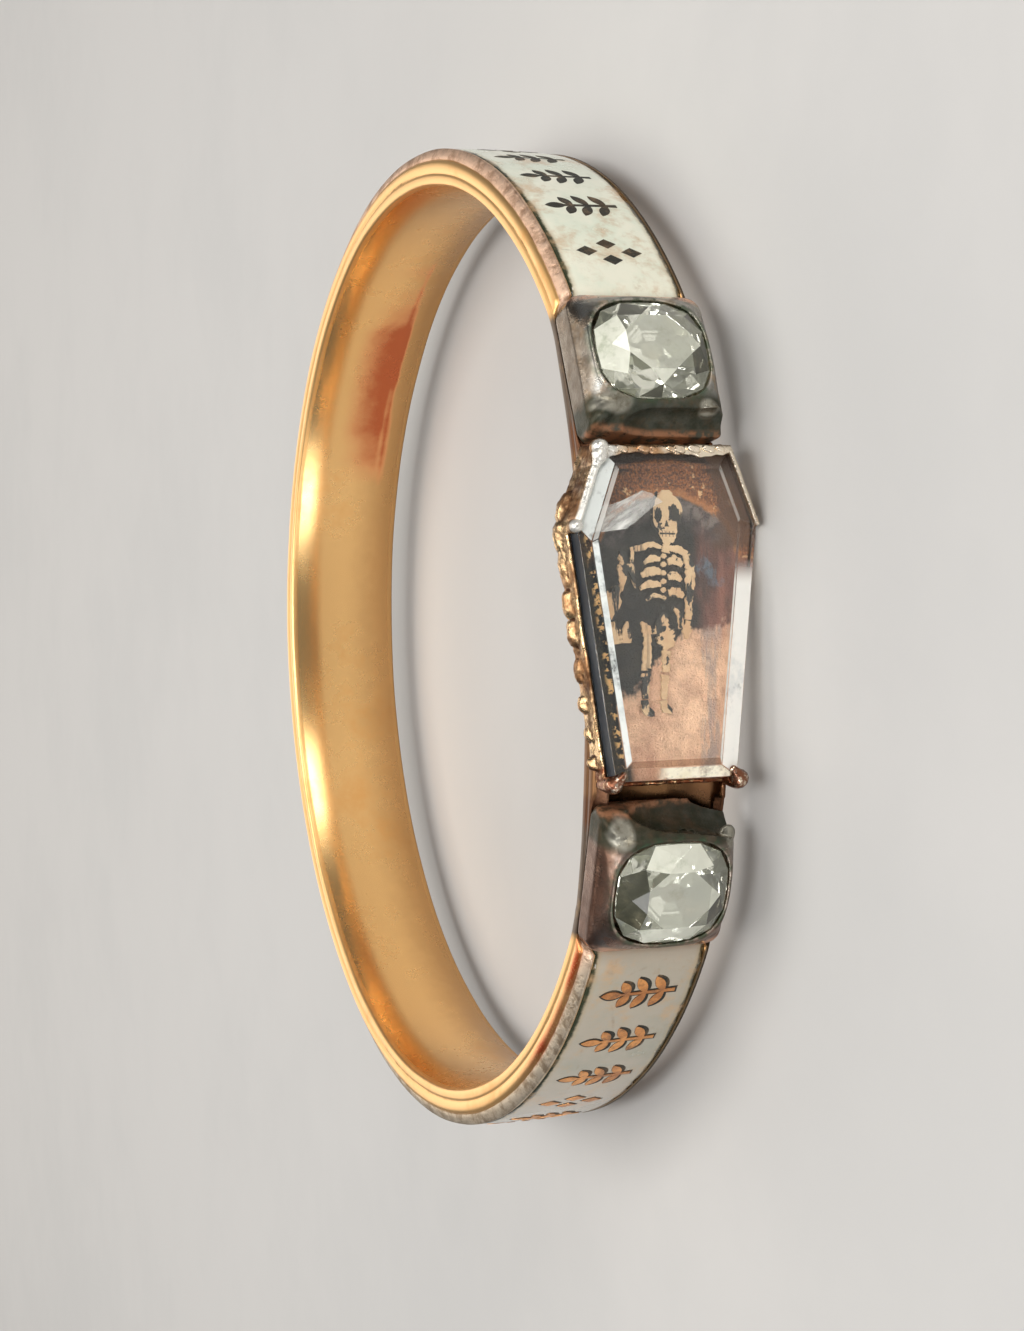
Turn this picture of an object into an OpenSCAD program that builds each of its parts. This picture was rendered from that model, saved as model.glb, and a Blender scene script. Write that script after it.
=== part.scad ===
// Mourning ring: an enamelled gold hoop with a coffin-shaped bezel under rock crystal,
// between two silver settings with cushion-cut diamonds.
// The ring lies on its side. The axis of the finger hole is Z, and the bezel points to -Y.
// The head end of the coffin points to +X.

/* [Hoop] */
// Inside radius of the round back of the hoop
bore_r = 9.35; // [8:0.05:11]
// Width of the hoop across the finger hole's axis
hoop_w = 2.64; // [2.5:0.02:3.2]
// Height of the plain side rim above the inside of the hoop
side_h = 0.65; // [0.6:0.01:0.8]
// Height of the outside edge above the inside of the hoop
edge_h = 0.86; // [0.8:0.01:1]
// How far the sloping border leans in from the side to the outside edge
border_lean = 0.15; // [0.08:0.01:0.2]
// Thickness of the gold lip beside the enamel, at its top
lip_t = 0.06; // [0.04:0.01:0.1]
// Height of the channel's floor above the inside of the hoop
floor_h = 0.38; // [0.32:0.01:0.42]
// How far the inside of the hoop swells towards the finger
belly = 0.13; // [0.06:0.01:0.15]
// Width of the straight strip along the middle of the inside
land_w = 1.1; // [0.8:0.05:1.4]
// Radius that rounds the edges of the side rim
edge_round = 0.07; // [0.03:0.01:0.09]
// Depth of the seam line scratched round each side
seam_depth = 0.03; // [0.01:0.01:0.05]
// Height of the seam line above the inside of the hoop
seam_h = 0.36; // [0.32:0.01:0.42]

/* [Flattened front] */
// Angle from the front at which the round back begins
back_angle = 38; // [37:0.5:44]
// Angle from the front at which the flat front begins
front_angle = 18; // [16:0.5:20]
// Inside radius of the two tight shoulders
shoulder_r = 2.5; // [1.5:0.1:5]

/* [Coffin bezel] */
// Length of the crystal from its head edge to its foot edge
coffin_l = 5.83; // [5:0.05:6]
// Distance from the head edge to the shoulders
head_to_shoulder = 1.35; // [1:0.05:1.8]
// Width of the head edge
head_w = 2.5; // [2:0.05:2.8]
// Width across the shoulders
shoulder_w = 3.5; // [3.2:0.05:4]
// Width of the foot edge
foot_w = 2.36; // [2:0.05:2.8]
// How far the coffin's middle sits towards the head
coffin_shift = 0.12; // [-0.1:0.01:0.2]
// How far the coffin sits off the middle of the hoop, towards the upper side
coffin_offset = 0; // [-0.1:0.01:0.2]
// Thickness of the bezel's wall
bezel_t = 0.07; // [0.05:0.01:0.12]
// Height of the low wall along the long sides, above the bezel's floor
low_wall_h = 0.28; // [0.24:0.01:0.34]
// Thickness of the bezel's floor
bezel_floor_t = 0.16; // [0.12:0.01:0.24]
// Radius of the largest lobe along the bezel's lower edge
lobe_r = 0.28; // [0.2:0.01:0.34]
// How far the largest lobe stands out from the bezel's wall
lobe_out = 0.11; // [0.06:0.01:0.16]
// Number of lobes along each long side
lobe_count = 8; // [6:1:9]
// Height of the lobes
lobe_h = 0.2; // [0.12:0.01:0.24]
// Width of the rubbed-over rim at the head
rim_w = 0.24; // [0.16:0.01:0.3]
// Thickness of the rubbed-over rim
rim_t = 0.08; // [0.05:0.01:0.12]
// Radius of the claws and beads at the corners
claw_r = 0.13; // [0.1:0.01:0.16]
// Reach of a foot claw over the crystal
claw_reach = 0.2; // [0.12:0.01:0.26]

/* [Rock crystal] */
// Height of the crystal's upright sides
crystal_side_h = 0.36; // [0.3:0.01:0.5]
// Width of the first sloping step, at the edge
step1_w = 0.27; // [0.2:0.01:0.3]
// Rise of the first step
step1_h = 0.09; // [0.05:0.01:0.16]
// Width of the narrow second step
step2_w = 0.1; // [0.06:0.01:0.14]
// Rise of the second step
step2_h = 0.07; // [0.03:0.01:0.1]
// Width of the third step, beside the table
step3_w = 0.46; // [0.3:0.01:0.5]
// Rise of the third step
step3_h = 0.06; // [0.03:0.01:0.12]

/* [Picture] */
// Thickness of the ground under the skeleton
ground_t = 0.1; // [0.06:0.01:0.12]
// Thickness of the skeleton
bone_t = 0.06; // [0.04:0.01:0.08]
// Length of the skeleton from the crown of its skull to its feet
figure_l = 3.95; // [3.4:0.05:4]
// Breadth of the skeleton, as a share of a slim figure's
figure_breadth = 1.3; // [1:0.05:1.4]
// Distance of the skeleton's middle from the coffin's middle, towards the head
figure_shift = 0.12; // [0:0.01:0.3]
// How far the skull leans towards the lower side of the ring
figure_lean = 4.5; // [0:0.5:6]

/* [Side settings] */
// Length of a setting along the hoop
setting_l = 2.75; // [2.5:0.05:2.8]
// Width of a setting across the hoop
setting_w = 2.68; // [2.5:0.02:2.8]
// Distance of a setting's middle from the middle of the ring, along the front
setting_x = 4.3; // [4.25:0.01:4.5]
// Lean of a setting away from the front
setting_lean = 20; // [18:0.5:23]
// Height of a setting's seat above the inside of the hoop
seat_h = 0.42; // [0.4:0.01:0.5]
// Height of the upright walls of the head setting, above the inside of the hoop
head_wall_h = 1.05; // [0.9:0.01:1.1]
// Height of the upright walls of the foot setting, above the inside of the hoop
foot_wall_h = 0.92; // [0.85:0.01:1.1]
// Height of the girdle of a stone, above the inside of the hoop
girdle_h = 1.33; // [1.25:0.01:1.45]
// Radius of the upright corners of a setting
setting_round = 0.3; // [0.15:0.01:0.4]
// Radius of the trough between the stone and the coffin
trough_r = 0.38; // [0.3:0.01:0.4]
// Height of the head setting's trough above the inside of the hoop
head_trough_h = 0.82; // [0.7:0.01:0.86]
// Height of the foot setting's trough above the inside of the hoop
foot_trough_h = 0.56; // [0.54:0.01:0.72]
// Thickness of the metal round a stone's girdle
collar_t = 0.07; // [0.04:0.01:0.1]
// Thickness of a horn where it is thickest
horn_t = 0.3; // [0.2:0.01:0.34]
// Rise of a horn above the upright walls
horn_rise = 0.12; // [0.05:0.01:0.16]

/* [Diamonds] */
// Width of a stone across the hoop
stone_w = 2.2; // [1.9:0.02:2.28]
// Length of a stone along the hoop
stone_l = 1.94; // [1.7:0.02:1.98]
// Distance of the head stone from the middle of its setting, away from the coffin
head_stone_shift = 0.11; // [0.08:0.01:0.16]
// Distance of the foot stone from the middle of its setting, away from the coffin
foot_stone_shift = 0.08; // [0.06:0.01:0.14]
// Height of the crown above the girdle
crown_h = 0.34; // [0.25:0.01:0.45]
// Depth of the pavilion below the girdle
pavilion_h = 0.66; // [0.5:0.01:0.72]
// Thickness of the girdle
girdle_t = 0.05; // [0.03:0.01:0.08]

/* [Fit] */
// Gap between pieces that are set into each other
gap = 0.02; // [0.01:0.005:0.03]

/* [Hidden] */
$fn = 96;
// Reach of the bodies that only cut or trim
cut = 2;
// Angles of a quarter turn and of the rounded side where the sloping border begins
quarter = 90;
border_turn = 62;

// Centres of the four arcs that make the ring's flattened round
shoulder_c = [(bore_r - shoulder_r) * sin(back_angle), -(bore_r - shoulder_r) * cos(back_angle)];
front_end = shoulder_c + shoulder_r * [sin(front_angle), -cos(front_angle)];
front_r = front_end[0] / sin(front_angle);
front_cy = front_end[1] + front_r * cos(front_angle);
front_y = front_r - front_cy;

// Half widths of the hoop's section
half_w = hoop_w / 2;
edge_z = half_w - border_lean;
channel_z = edge_z - lip_t;

// Levels of the coffin bezel, measured outwards from the middle of the ring
bezel_bottom = front_y + floor_h - bezel_floor_t / 2;
bezel_floor = bezel_bottom + bezel_floor_t;
ground_z = bezel_floor + gap;
bone_z = ground_z + ground_t + gap;
crystal_z = bone_z + bone_t + gap;
girdle_z = crystal_z + crystal_side_h;
step1_z = girdle_z + step1_h;
step2_z = step1_z + step2_h;
table_z = step2_z + step3_h;
low_wall_z = bezel_floor + low_wall_h;

// Key places along the coffin
head_x = coffin_l / 2 + coffin_shift;
shoulder_x = head_x - head_to_shoulder;
foot_x = head_x - coffin_l;

// The plan of the coffin, in six corners, from the foot round the lower long side
coffin_corners = [[foot_x, -foot_w / 2], [shoulder_x, -shoulder_w / 2], [head_x, -head_w / 2],
    [head_x, head_w / 2], [shoulder_x, shoulder_w / 2], [foot_x, foot_w / 2]];

// Stands a shape on the front of the ring: X stays, Y turns to Z and Z turns to -Y
module on_front() {
    translate([0, 0, coffin_offset]) rotate([quarter, 0, 0]) children();
}

// Stands a shape on the seat of a side setting, with Z outwards and X away from the coffin
seat_y = front_cy - sqrt(pow(front_r, 2) - pow(setting_x, 2));
module on_side(side) {
    mirror([side < 0 ? 1 : 0, 0, 0])
        translate([setting_x, seat_y, 0])
            rotate([0, 0, setting_lean])
                rotate([quarter, 0, 0])
                    children();
}

// Moves one edge of a corner outwards by a distance and returns the crossing of two such edges
function unit(v) = v / norm(v);
function edge_normal(a, b) = let (d = unit(b - a)) [d[1], -d[0]];
function grown_corner(p, n1, n2, d) = p + (n1 + n2) * d / (1 + n1 * n2);
function grown(pts, d) = [for (i = [0:len(pts) - 1])
    let (before = pts[(i + len(pts) - 1) % len(pts)], here = pts[i], after = pts[(i + 1) % len(pts)])
    grown_corner(here, edge_normal(before, here), edge_normal(here, after), d)];

// A quarter or smaller part of a circle, in steps
function arc_points(c, r, a0, a1, steps) =
    [for (i = [0:steps]) c + r * [cos(a0 + (a1 - a0) * i / steps), sin(a0 + (a1 - a0) * i / steps)]];

// Half of the hoop's section from the middle of the inside to the outside edge
inside_half = [
    [0, land_w / 2],
    [belly * 0.3, half_w * 0.72],
    [belly * 0.65, half_w * 0.88],
    [belly, half_w - edge_round]];
side_half = concat(
    arc_points([belly + edge_round, half_w - edge_round], edge_round, 2 * quarter, quarter, 4),
    [[seam_h - seam_depth, half_w], [seam_h, half_w - seam_depth], [seam_h + seam_depth, half_w]],
    arc_points([side_h - edge_round, half_w - edge_round], edge_round, quarter, border_turn, 3),
    [[edge_h, edge_z]]);
function mirrored(pts) = [for (i = [len(pts) - 1:-1:0]) [pts[i][0], -pts[i][1]]];
upper_half = concat(inside_half, side_half);
channel_half = [[edge_h, channel_z], [floor_h, channel_z]];
plain_section = concat(upper_half, mirrored(upper_half));
channel_section = concat(upper_half, channel_half, mirrored(channel_half), mirrored(upper_half));
fill_top = edge_h - 0.01;
fill_half = channel_z - gap;
fill_section = [[floor_h + gap, fill_half], [floor_h + gap, -fill_half], [fill_top, -fill_half],
    [edge_h + 0.02, -fill_half * 0.6], [edge_h + 0.02, fill_half * 0.6], [fill_top, fill_half]];

// One arc of the ring, swept with a section that is measured outwards from the inside
module ring_arc(section, centre, r, from, to) {
    translate([centre[0], centre[1], 0])
        rotate([0, 0, from - quarter])
            rotate_extrude(angle = to - from)
                translate([r, 0])
                    polygon(section);
}

module back_arc(section) {
    ring_arc(section, [0, 0], bore_r, back_angle, 360 - back_angle);
}

module shoulder_arcs(section) {
    ring_arc(section, shoulder_c, shoulder_r, front_angle, back_angle);
    ring_arc(section, [-shoulder_c[0], shoulder_c[1]], shoulder_r, -back_angle, -front_angle);
}

module front_arc(section) {
    ring_arc(section, [0, front_cy], front_r, -front_angle, front_angle);
}

// The space that a side setting takes out of the hoop and the enamel
module setting_space(side, room) {
    on_side(side)
        translate([-setting_l / 2 - room, -cut, seat_h - room])
            cube([setting_l + 2 * room, 2 * cut, cut]);
}

// The enamel starts under a setting, which cuts it off
enamel_angle = atan2(setting_x + setting_l / 4, -seat_y);

// A flat slab with the coffin's plan
module coffin_slab(grow, from, to) {
    translate([0, 0, from])
        linear_extrude(to - from)
            polygon(grown(coffin_corners, grow));
}

// A lobe on the bezel's lower edge, at a share of the way between two corners
module lobe(a, b, share, side, size, out) {
    along = b - a;
    normal = unit([-along[1], along[0]]);
    outwards = normal[1] * side > 0 ? normal : -normal;
    place = a + along * share + outwards * (gap + bezel_t + out - size);
    translate([place[0], place[1], bezel_bottom])
        cylinder(r = size, h = lobe_h, $fn = 24);
}

// The lobes of one side: one between the head and the shoulder, then a row that shrinks to the foot
lobe_first = 0.03;
lobe_last = 0.94;
lobe_shrink = 0.45;
module edge_lobes(side) {
    head = [head_x, side * head_w / 2];
    shoulder = [shoulder_x, side * shoulder_w / 2];
    foot = [foot_x, side * foot_w / 2];
    lobe(head, shoulder, 0.74, side, lobe_r, lobe_out);
    for (i = [0:lobe_count - 1]) {
        share = i / (lobe_count - 1);
        size = 1 - lobe_shrink * share;
        lobe(shoulder, foot, lobe_first + (lobe_last - lobe_first) * share, side, lobe_r * size, lobe_out * size);
    }
}

// The crystal's solid in plan layers, made larger by some room on its sides and top
function layer(grow, z) = [for (p = grown(coffin_corners, grow)) [p[0], p[1], z]];
module crystal_body(room) {
    sides = len(coffin_corners);
    layers = [
        layer(room, crystal_z),
        layer(room, girdle_z + room / 3),
        layer(room - step1_w, step1_z + room),
        layer(room - step1_w - step2_w, step2_z + room),
        layer(room - step1_w - step2_w - step3_w, table_z + room)];
    top = (len(layers) - 1) * sides;
    polyhedron(
        points = [for (one = layers) for (p = one) p],
        faces = concat(
            [[for (i = [0:sides - 1]) i]],
            [for (k = [0:len(layers) - 2]) for (i = [0:sides - 1])
                let (j = (i + 1) % sides)
                [k * sides + i, (k + 1) * sides + i, (k + 1) * sides + j, k * sides + j]],
            [[for (i = [sides - 1:-1:0]) top + i]]));
}

// The walls that rise to the girdle: the head and its two sloping sides
module high_walls() {
    intersection() {
        coffin_slab(gap + bezel_t, bezel_bottom, girdle_z);
        translate([shoulder_x, -cut, 0])
            cube([cut, 2 * cut, girdle_z]);
    }
}

// The strip of metal that is rubbed over the crystal at the head and the upper sloping side
module rubbed_rim() {
    outer = grown(coffin_corners, gap + rim_t);
    inner = grown(coffin_corners, gap + rim_t - rim_w);
    narrow = grown(coffin_corners, gap + rim_t - rim_w * 0.6);
    intersection() {
        crystal_body(gap + rim_t);
        translate([0, 0, crystal_z])
            linear_extrude(cut)
                polygon([outer[2], outer[3], outer[4], narrow[4], inner[3], narrow[2]]);
    }
}

// A bead of metal on one corner of the rim
module bead(corner) {
    place = grown(coffin_corners, gap)[corner];
    translate([place[0], place[1], girdle_z])
        sphere(r = claw_r, $fn = 24);
}

// A claw that rises from one corner of the bezel and bends over the crystal
module claw(corner, reach) {
    wall = grown(coffin_corners, gap)[corner];
    tip = grown(coffin_corners, gap - reach)[corner];
    hull() {
        translate([wall[0], wall[1], low_wall_z - claw_r])
            sphere(r = claw_r, $fn = 16);
        translate([wall[0], wall[1], girdle_z])
            sphere(r = claw_r, $fn = 16);
    }
    hull() {
        translate([wall[0], wall[1], girdle_z])
            sphere(r = claw_r, $fn = 16);
        translate([tip[0], tip[1], step1_z])
            sphere(r = claw_r * 0.7, $fn = 16);
    }
}

module gold_hoop() {
    color("burlywood")
    difference() {
        union() {
            back_arc(channel_section);
            shoulder_arcs(channel_section);
            front_arc(plain_section);
            on_front() {
                coffin_slab(gap + bezel_t, bezel_bottom, low_wall_z);
                edge_lobes(1);
                edge_lobes(-1);
                high_walls();
                rubbed_rim();
                claw(0, claw_reach);
                claw(5, claw_reach);
                bead(3);
                bead(4);
            }
        }
        on_front() {
            coffin_slab(gap, bezel_floor, crystal_z + gap);
            crystal_body(gap);
        }
        setting_space(1, gap);
        setting_space(-1, gap);
    }
}

module enamel_band() {
    color("ivory")
    difference() {
        ring_arc(fill_section, [0, 0], bore_r, enamel_angle, 360 - enamel_angle);
        setting_space(1, gap * 2);
        setting_space(-1, gap * 2);
    }
}

// The plan of a setting: an oblong with round corners
plan_steps = 6;
setting_plan = [for (q = [0:3]) each arc_points(
    [(q == 0 || q == 3 ? 1 : -1) * (setting_l / 2 - setting_round),
        (q < 2 ? 1 : -1) * (setting_w / 2 - setting_round)],
    setting_round, q * quarter, (q + 1) * quarter, plan_steps)];

// A curled horn at one corner of a setting, next to the coffin
module horn(wall_h, hand) {
    r = horn_t / 2;
    end = -setting_l / 2;
    edge = setting_w / 2;
    path = [
        [end + r, edge - r, seat_h + r, r * 0.8],
        [end + r, edge - r, wall_h - r, r],
        [end + 2.2 * r, edge - 1.5 * r, wall_h + horn_rise - r * 0.4, r * 1.1],
        [end + 3.6 * r, edge - 3 * r, wall_h + horn_rise - r * 0.6, r * 0.85]];
    mirror([0, hand, 0])
        for (i = [0:len(path) - 2])
            hull()
                for (p = [path[i], path[i + 1]])
                    translate([p[0], p[1], p[2]])
                        sphere(r = p[3], $fn = 16);
}

module setting(side, wall_h, trough_h, shift) {
    on_side(side) {
        difference() {
            union() {
                translate([0, 0, seat_h])
                    linear_extrude(wall_h - seat_h)
                        polygon(setting_plan);
                hull() {
                    translate([0, 0, wall_h - girdle_t])
                        linear_extrude(girdle_t)
                            polygon(setting_plan);
                    translate([shift, 0, girdle_h])
                        stone_outline(collar_t, girdle_t);
                }
                horn(wall_h, 0);
                horn(wall_h, 1);
            }
            translate([-setting_l / 2, 0, trough_h + trough_r])
                rotate([quarter, 0, 0])
                    cylinder(r = trough_r, h = setting_w - 3 * horn_t, center = true, $fn = 48);
            translate([shift, 0, girdle_h - pavilion_h - gap])
                stone_outline(gap, cut);
        }
    }
}

module head_setting() {
    color("rosybrown") setting(1, head_wall_h, head_trough_h, head_stone_shift);
}

module foot_setting() {
    color("rosybrown") setting(-1, foot_wall_h, foot_trough_h, foot_stone_shift);
}

// Points round a cushion outline: between an ellipse (bulge 2) and an oblong
girdle_bulge = 3;
table_bulge = 2.4;
table_share = 0.56;
star_share = 0.78;
star_rise = 0.6;
culet_share = 0.12;
function cushion(l, w, bulge, count, turn, z) = [for (i = [0:count - 1])
    let (a = i * 360 / count + turn, c = cos(a), s = sin(a), k = pow(pow(abs(c), bulge) + pow(abs(s), bulge), -1 / bulge))
    [l / 2 * k * c, w / 2 * k * s, z]];

// The plan of a stone's girdle, with some room round it
module stone_outline(room, h) {
    linear_extrude(h)
        polygon([for (p = cushion(stone_l + 2 * room, stone_w + 2 * room, girdle_bulge, 16, 0, 0)) [p[0], p[1]]]);
}

// A cushion-cut stone with an eight-sided table, star and kite facets, a girdle and a pavilion
module stone(side, shift) {
    table = cushion(stone_l * table_share, stone_w * table_share, table_bulge, 8, 22.5, crown_h);
    star = cushion(stone_l * star_share, stone_w * star_share, table_bulge, 8, 45, crown_h * star_rise);
    top = cushion(stone_l, stone_w, girdle_bulge, 16, 22.5, girdle_t / 2);
    bottom = cushion(stone_l, stone_w, girdle_bulge, 16, 22.5, -girdle_t / 2);
    culet = cushion(stone_l * culet_share, stone_w * culet_share, table_bulge, 16, 22.5, -pavilion_h);
    function after(i, count) = (i + 1) % count;
    faces = concat(
        [[for (i = [7:-1:0]) i]],
        [for (i = [0:7]) [i, after(i, 8), 8 + i]],
        [for (i = [0:7]) [after(i, 8), 16 + 2 * after(i, 8), 8 + i]],
        [for (i = [0:7]) [i, 8 + i, 16 + 2 * i]],
        [for (i = [0:7]) [8 + i, 17 + 2 * i, 16 + 2 * i]],
        [for (i = [0:7]) [8 + i, 16 + 2 * after(i, 8), 17 + 2 * i]],
        [for (i = [0:15]) [16 + i, 16 + after(i, 16), 32 + after(i, 16), 32 + i]],
        [for (i = [0:15]) [32 + i, 32 + after(i, 16), 48 + after(i, 16), 48 + i]],
        [[for (i = [0:15]) 48 + i]]);
    on_side(side)
        translate([shift, 0, girdle_h])
            polyhedron(points = concat(table, star, top, bottom, culet), faces = faces);
}

module head_diamond() {
    color("honeydew") stone(1, head_stone_shift);
}

module foot_diamond() {
    color("honeydew") stone(-1, foot_stone_shift);
}

module rock_crystal() {
    color("lightsteelblue")
    on_front() crystal_body(0);
}

module picture_ground() {
    color("darkslategray")
    on_front() coffin_slab(-gap, ground_z, ground_z + ground_t);
}

// The skeleton is drawn upright in shares of its own length, from 0 at the feet to 1 at the crown
function to_figure(p) = [p[0] * figure_breadth * figure_l, (p[1] - 0.5) * figure_l];

// A straight bone with round ends, between two places in shares
bone_steps = 4;
module bone(a, b, w) {
    from = to_figure(a);
    to = to_figure(b);
    turn = atan2(to[1] - from[1], to[0] - from[0]);
    r = w * figure_l / 2;
    start = arc_points(from, r, turn + quarter, turn + 3 * quarter, bone_steps);
    end = arc_points(to, r, turn - quarter, turn + quarter, bone_steps);
    polygon(concat(start, end));
}

module ball(p, w) {
    translate(to_figure(p))
        circle(r = w * figure_l / 2, $fn = 12);
}

// Rows of ribs: the height of the root, the reach sideways and the drop
rib_rows = [[0.755, 0.075, 0.035], [0.7, 0.095, 0.045], [0.645, 0.098, 0.05], [0.59, 0.085, 0.045]];
rib_t = 0.03;
module ribs(row) {
    root = row[0];
    drop = row[2];
    for (side = [-1, 1]) {
        reach = side * row[1];
        bone([0, root], [reach * 0.7, root + drop * 0.2], rib_t);
        bone([reach * 0.7, root + drop * 0.2], [reach, root - drop * 0.6], rib_t);
        bone([reach, root - drop * 0.6], [reach * 0.55, root - drop], rib_t);
    }
}

// The skull from the front: a round crown, cheeks and a jaw, with two eyes and a nose cut out
module skull() {
    difference() {
        union() {
            ball([0, 0.925], 0.15);
            ball([0, 0.895], 0.14);
            bone([-0.03, 0.845], [0.03, 0.845], 0.06);
        }
        ball([-0.032, 0.905], 0.038);
        ball([0.032, 0.905], 0.038);
        bone([0, 0.877], [0, 0.868], 0.014);
        bone([-0.03, 0.846], [0.03, 0.846], 0.007);
    }
}

module pelvis() {
    difference() {
        union() {
            ball([-0.055, 0.455], 0.085);
            ball([0.055, 0.455], 0.085);
            bone([-0.04, 0.42], [0.04, 0.42], 0.05);
        }
        ball([-0.03, 0.415], 0.026);
        ball([0.03, 0.415], 0.026);
    }
}

module arm_and_leg(side) {
    bone([0, 0.795], [side * 0.125, 0.79], 0.032);
    bone([side * 0.135, 0.78], [side * 0.158, 0.615], 0.042);
    bone([side * 0.158, 0.61], [side * 0.135, 0.46], 0.034);
    ball([side * 0.132, 0.44], 0.048);
    bone([side * 0.068, 0.42], [side * 0.06, 0.225], 0.046);
    bone([side * 0.06, 0.21], [side * 0.048, 0.035], 0.038);
    bone([side * 0.048, 0.018], [side * 0.085, 0.016], 0.032);
}

module skeleton() {
    color("navajowhite")
    on_front()
        translate([coffin_shift + figure_shift, 0, bone_z])
            rotate([0, 0, -figure_lean - quarter])
                linear_extrude(bone_t)
                    union() {
                        skull();
                        bone([0, 0.82], [0, 0.45], rib_t);
                        for (row = rib_rows)
                            ribs(row);
                        pelvis();
                        arm_and_leg(-1);
                        arm_and_leg(1);
                    }
}

gold_hoop();
enamel_band();
head_setting();
foot_setting();
head_diamond();
foot_diamond();
rock_crystal();
skeleton();
picture_ground();
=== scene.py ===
# %% [markdown]
# # A mourning ring with a coffin bezel
# The real object is a slim gold hoop filled with white enamel. Its front carries a coffin-shaped gold
# box under cut rock crystal, with a painted skeleton inside, between two square silver settings.
# This lesson dresses the exact model of that ring: thin irregular metal, stained enamel and old cut
# stones. Everything is worked out in millimetres and scaled to metres when a mesh is made.

# %% Load the ring
import math

import bmesh
import bpy
import numpy as np
from mathutils import Matrix, Vector


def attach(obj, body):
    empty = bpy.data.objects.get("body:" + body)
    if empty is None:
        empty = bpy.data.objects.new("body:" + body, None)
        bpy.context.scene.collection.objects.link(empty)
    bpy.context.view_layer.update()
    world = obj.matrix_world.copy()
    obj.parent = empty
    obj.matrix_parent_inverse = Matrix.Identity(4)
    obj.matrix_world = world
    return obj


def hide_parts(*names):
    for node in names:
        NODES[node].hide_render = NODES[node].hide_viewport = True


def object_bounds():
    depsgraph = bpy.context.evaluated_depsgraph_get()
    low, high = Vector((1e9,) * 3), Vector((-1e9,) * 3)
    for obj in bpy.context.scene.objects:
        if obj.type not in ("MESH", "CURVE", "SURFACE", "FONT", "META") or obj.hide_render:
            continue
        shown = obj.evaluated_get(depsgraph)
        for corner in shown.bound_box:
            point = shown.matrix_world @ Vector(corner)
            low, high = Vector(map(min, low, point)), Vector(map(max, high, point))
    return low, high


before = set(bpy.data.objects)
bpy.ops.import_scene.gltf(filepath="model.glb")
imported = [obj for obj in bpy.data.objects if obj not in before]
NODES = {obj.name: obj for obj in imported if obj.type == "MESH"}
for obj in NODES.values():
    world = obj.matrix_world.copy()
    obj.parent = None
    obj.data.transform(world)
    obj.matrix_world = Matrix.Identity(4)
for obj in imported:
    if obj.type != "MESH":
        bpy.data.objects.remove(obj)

cad_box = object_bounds()
print("solids:", sorted(NODES))

# %% [markdown]
# ## Sizes
# The sizes are those of the model's source, in millimetres. The finger hole's axis is Z, the bezel
# looks along -Y and the head of the coffin points to +X. Keeping them as names means that a rim, a
# groove or an ornament is always placed from the same value as the piece that it belongs to.

# %% Name the sizes
MM = 0.001
bore_r, shoulder_r, back_angle, front_angle = 9.35, 2.5, 38.0, 18.0
half_w, edge_h, border_lean = 1.32, 0.86, 0.15
floor_h, belly, land_half = 0.38, 0.13, 0.55
edge_z = half_w - border_lean
channel_z = edge_z - 0.06
gap, bezel_t, lobe_out = 0.02, 0.07, 0.11

sin_b, cos_b = math.sin(math.radians(back_angle)), math.cos(math.radians(back_angle))
sin_f, cos_f = math.sin(math.radians(front_angle)), math.cos(math.radians(front_angle))
shoulder_c = np.array([(bore_r - shoulder_r) * sin_b, -(bore_r - shoulder_r) * cos_b])
front_end = shoulder_c + shoulder_r * np.array([sin_f, -cos_f])
front_r = front_end[0] / sin_f
front_cy = front_end[1] + front_r * cos_f
front_y = front_r - front_cy

bezel_bottom = front_y + floor_h - 0.08
bezel_floor = bezel_bottom + 0.16
crystal_z = bezel_floor + gap * 3 + 0.16
girdle_z = crystal_z + 0.36
low_wall_z = bezel_floor + 0.28
step1_w, step1_h, step2_h, step3_h = 0.27, 0.09, 0.07, 0.06

setting_l, setting_w, setting_x, setting_lean = 2.75, 2.68, 4.3, 20.0
seat_h, girdle_h, pavilion_h = 0.42, 1.33, 0.66
seat_y = front_cy - math.sqrt(front_r ** 2 - setting_x ** 2)
stone_w, stone_l = 2.2, 1.94
print("front radius %.2f mm, girdle of the crystal %.3f mm from the middle" % (front_r, girdle_z))

# %% [markdown]
# ## Small helpers
# Most pieces here are grids: a section carried along a line. `grid_mesh` turns such a grid into a
# mesh, and `mark` stores a number on each point, such as how deep it lies in a crevice. A material
# can then darken exactly those places.

# %% Make meshes from grids
def link(name, mesh):
    piece = bpy.data.objects.new(name, mesh)
    bpy.context.scene.collection.objects.link(piece)
    return piece


def plain_mesh(name, points, faces, smooth=True):
    mesh = bpy.data.meshes.new(name)
    mesh.from_pydata((np.asarray(points, float).reshape(-1, 3) * MM).tolist(), [], faces)
    mesh.update()
    mesh.polygons.foreach_set("use_smooth", [smooth] * len(mesh.polygons))
    return link(name, mesh)


def ring_walls(base, n):
    """Four-sided faces between one closed outline of n points and the next."""
    return [[base + i, base + n + i, base + n + (i + 1) % n, base + (i + 1) % n] for i in range(n)]


def prism_faces(base, n):
    """The walls and both ends of a prism whose outline has n points."""
    ends = [list(range(base, base + n)), list(range(base + n, base + 2 * n))[::-1]]
    return ends + ring_walls(base, n)


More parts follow.
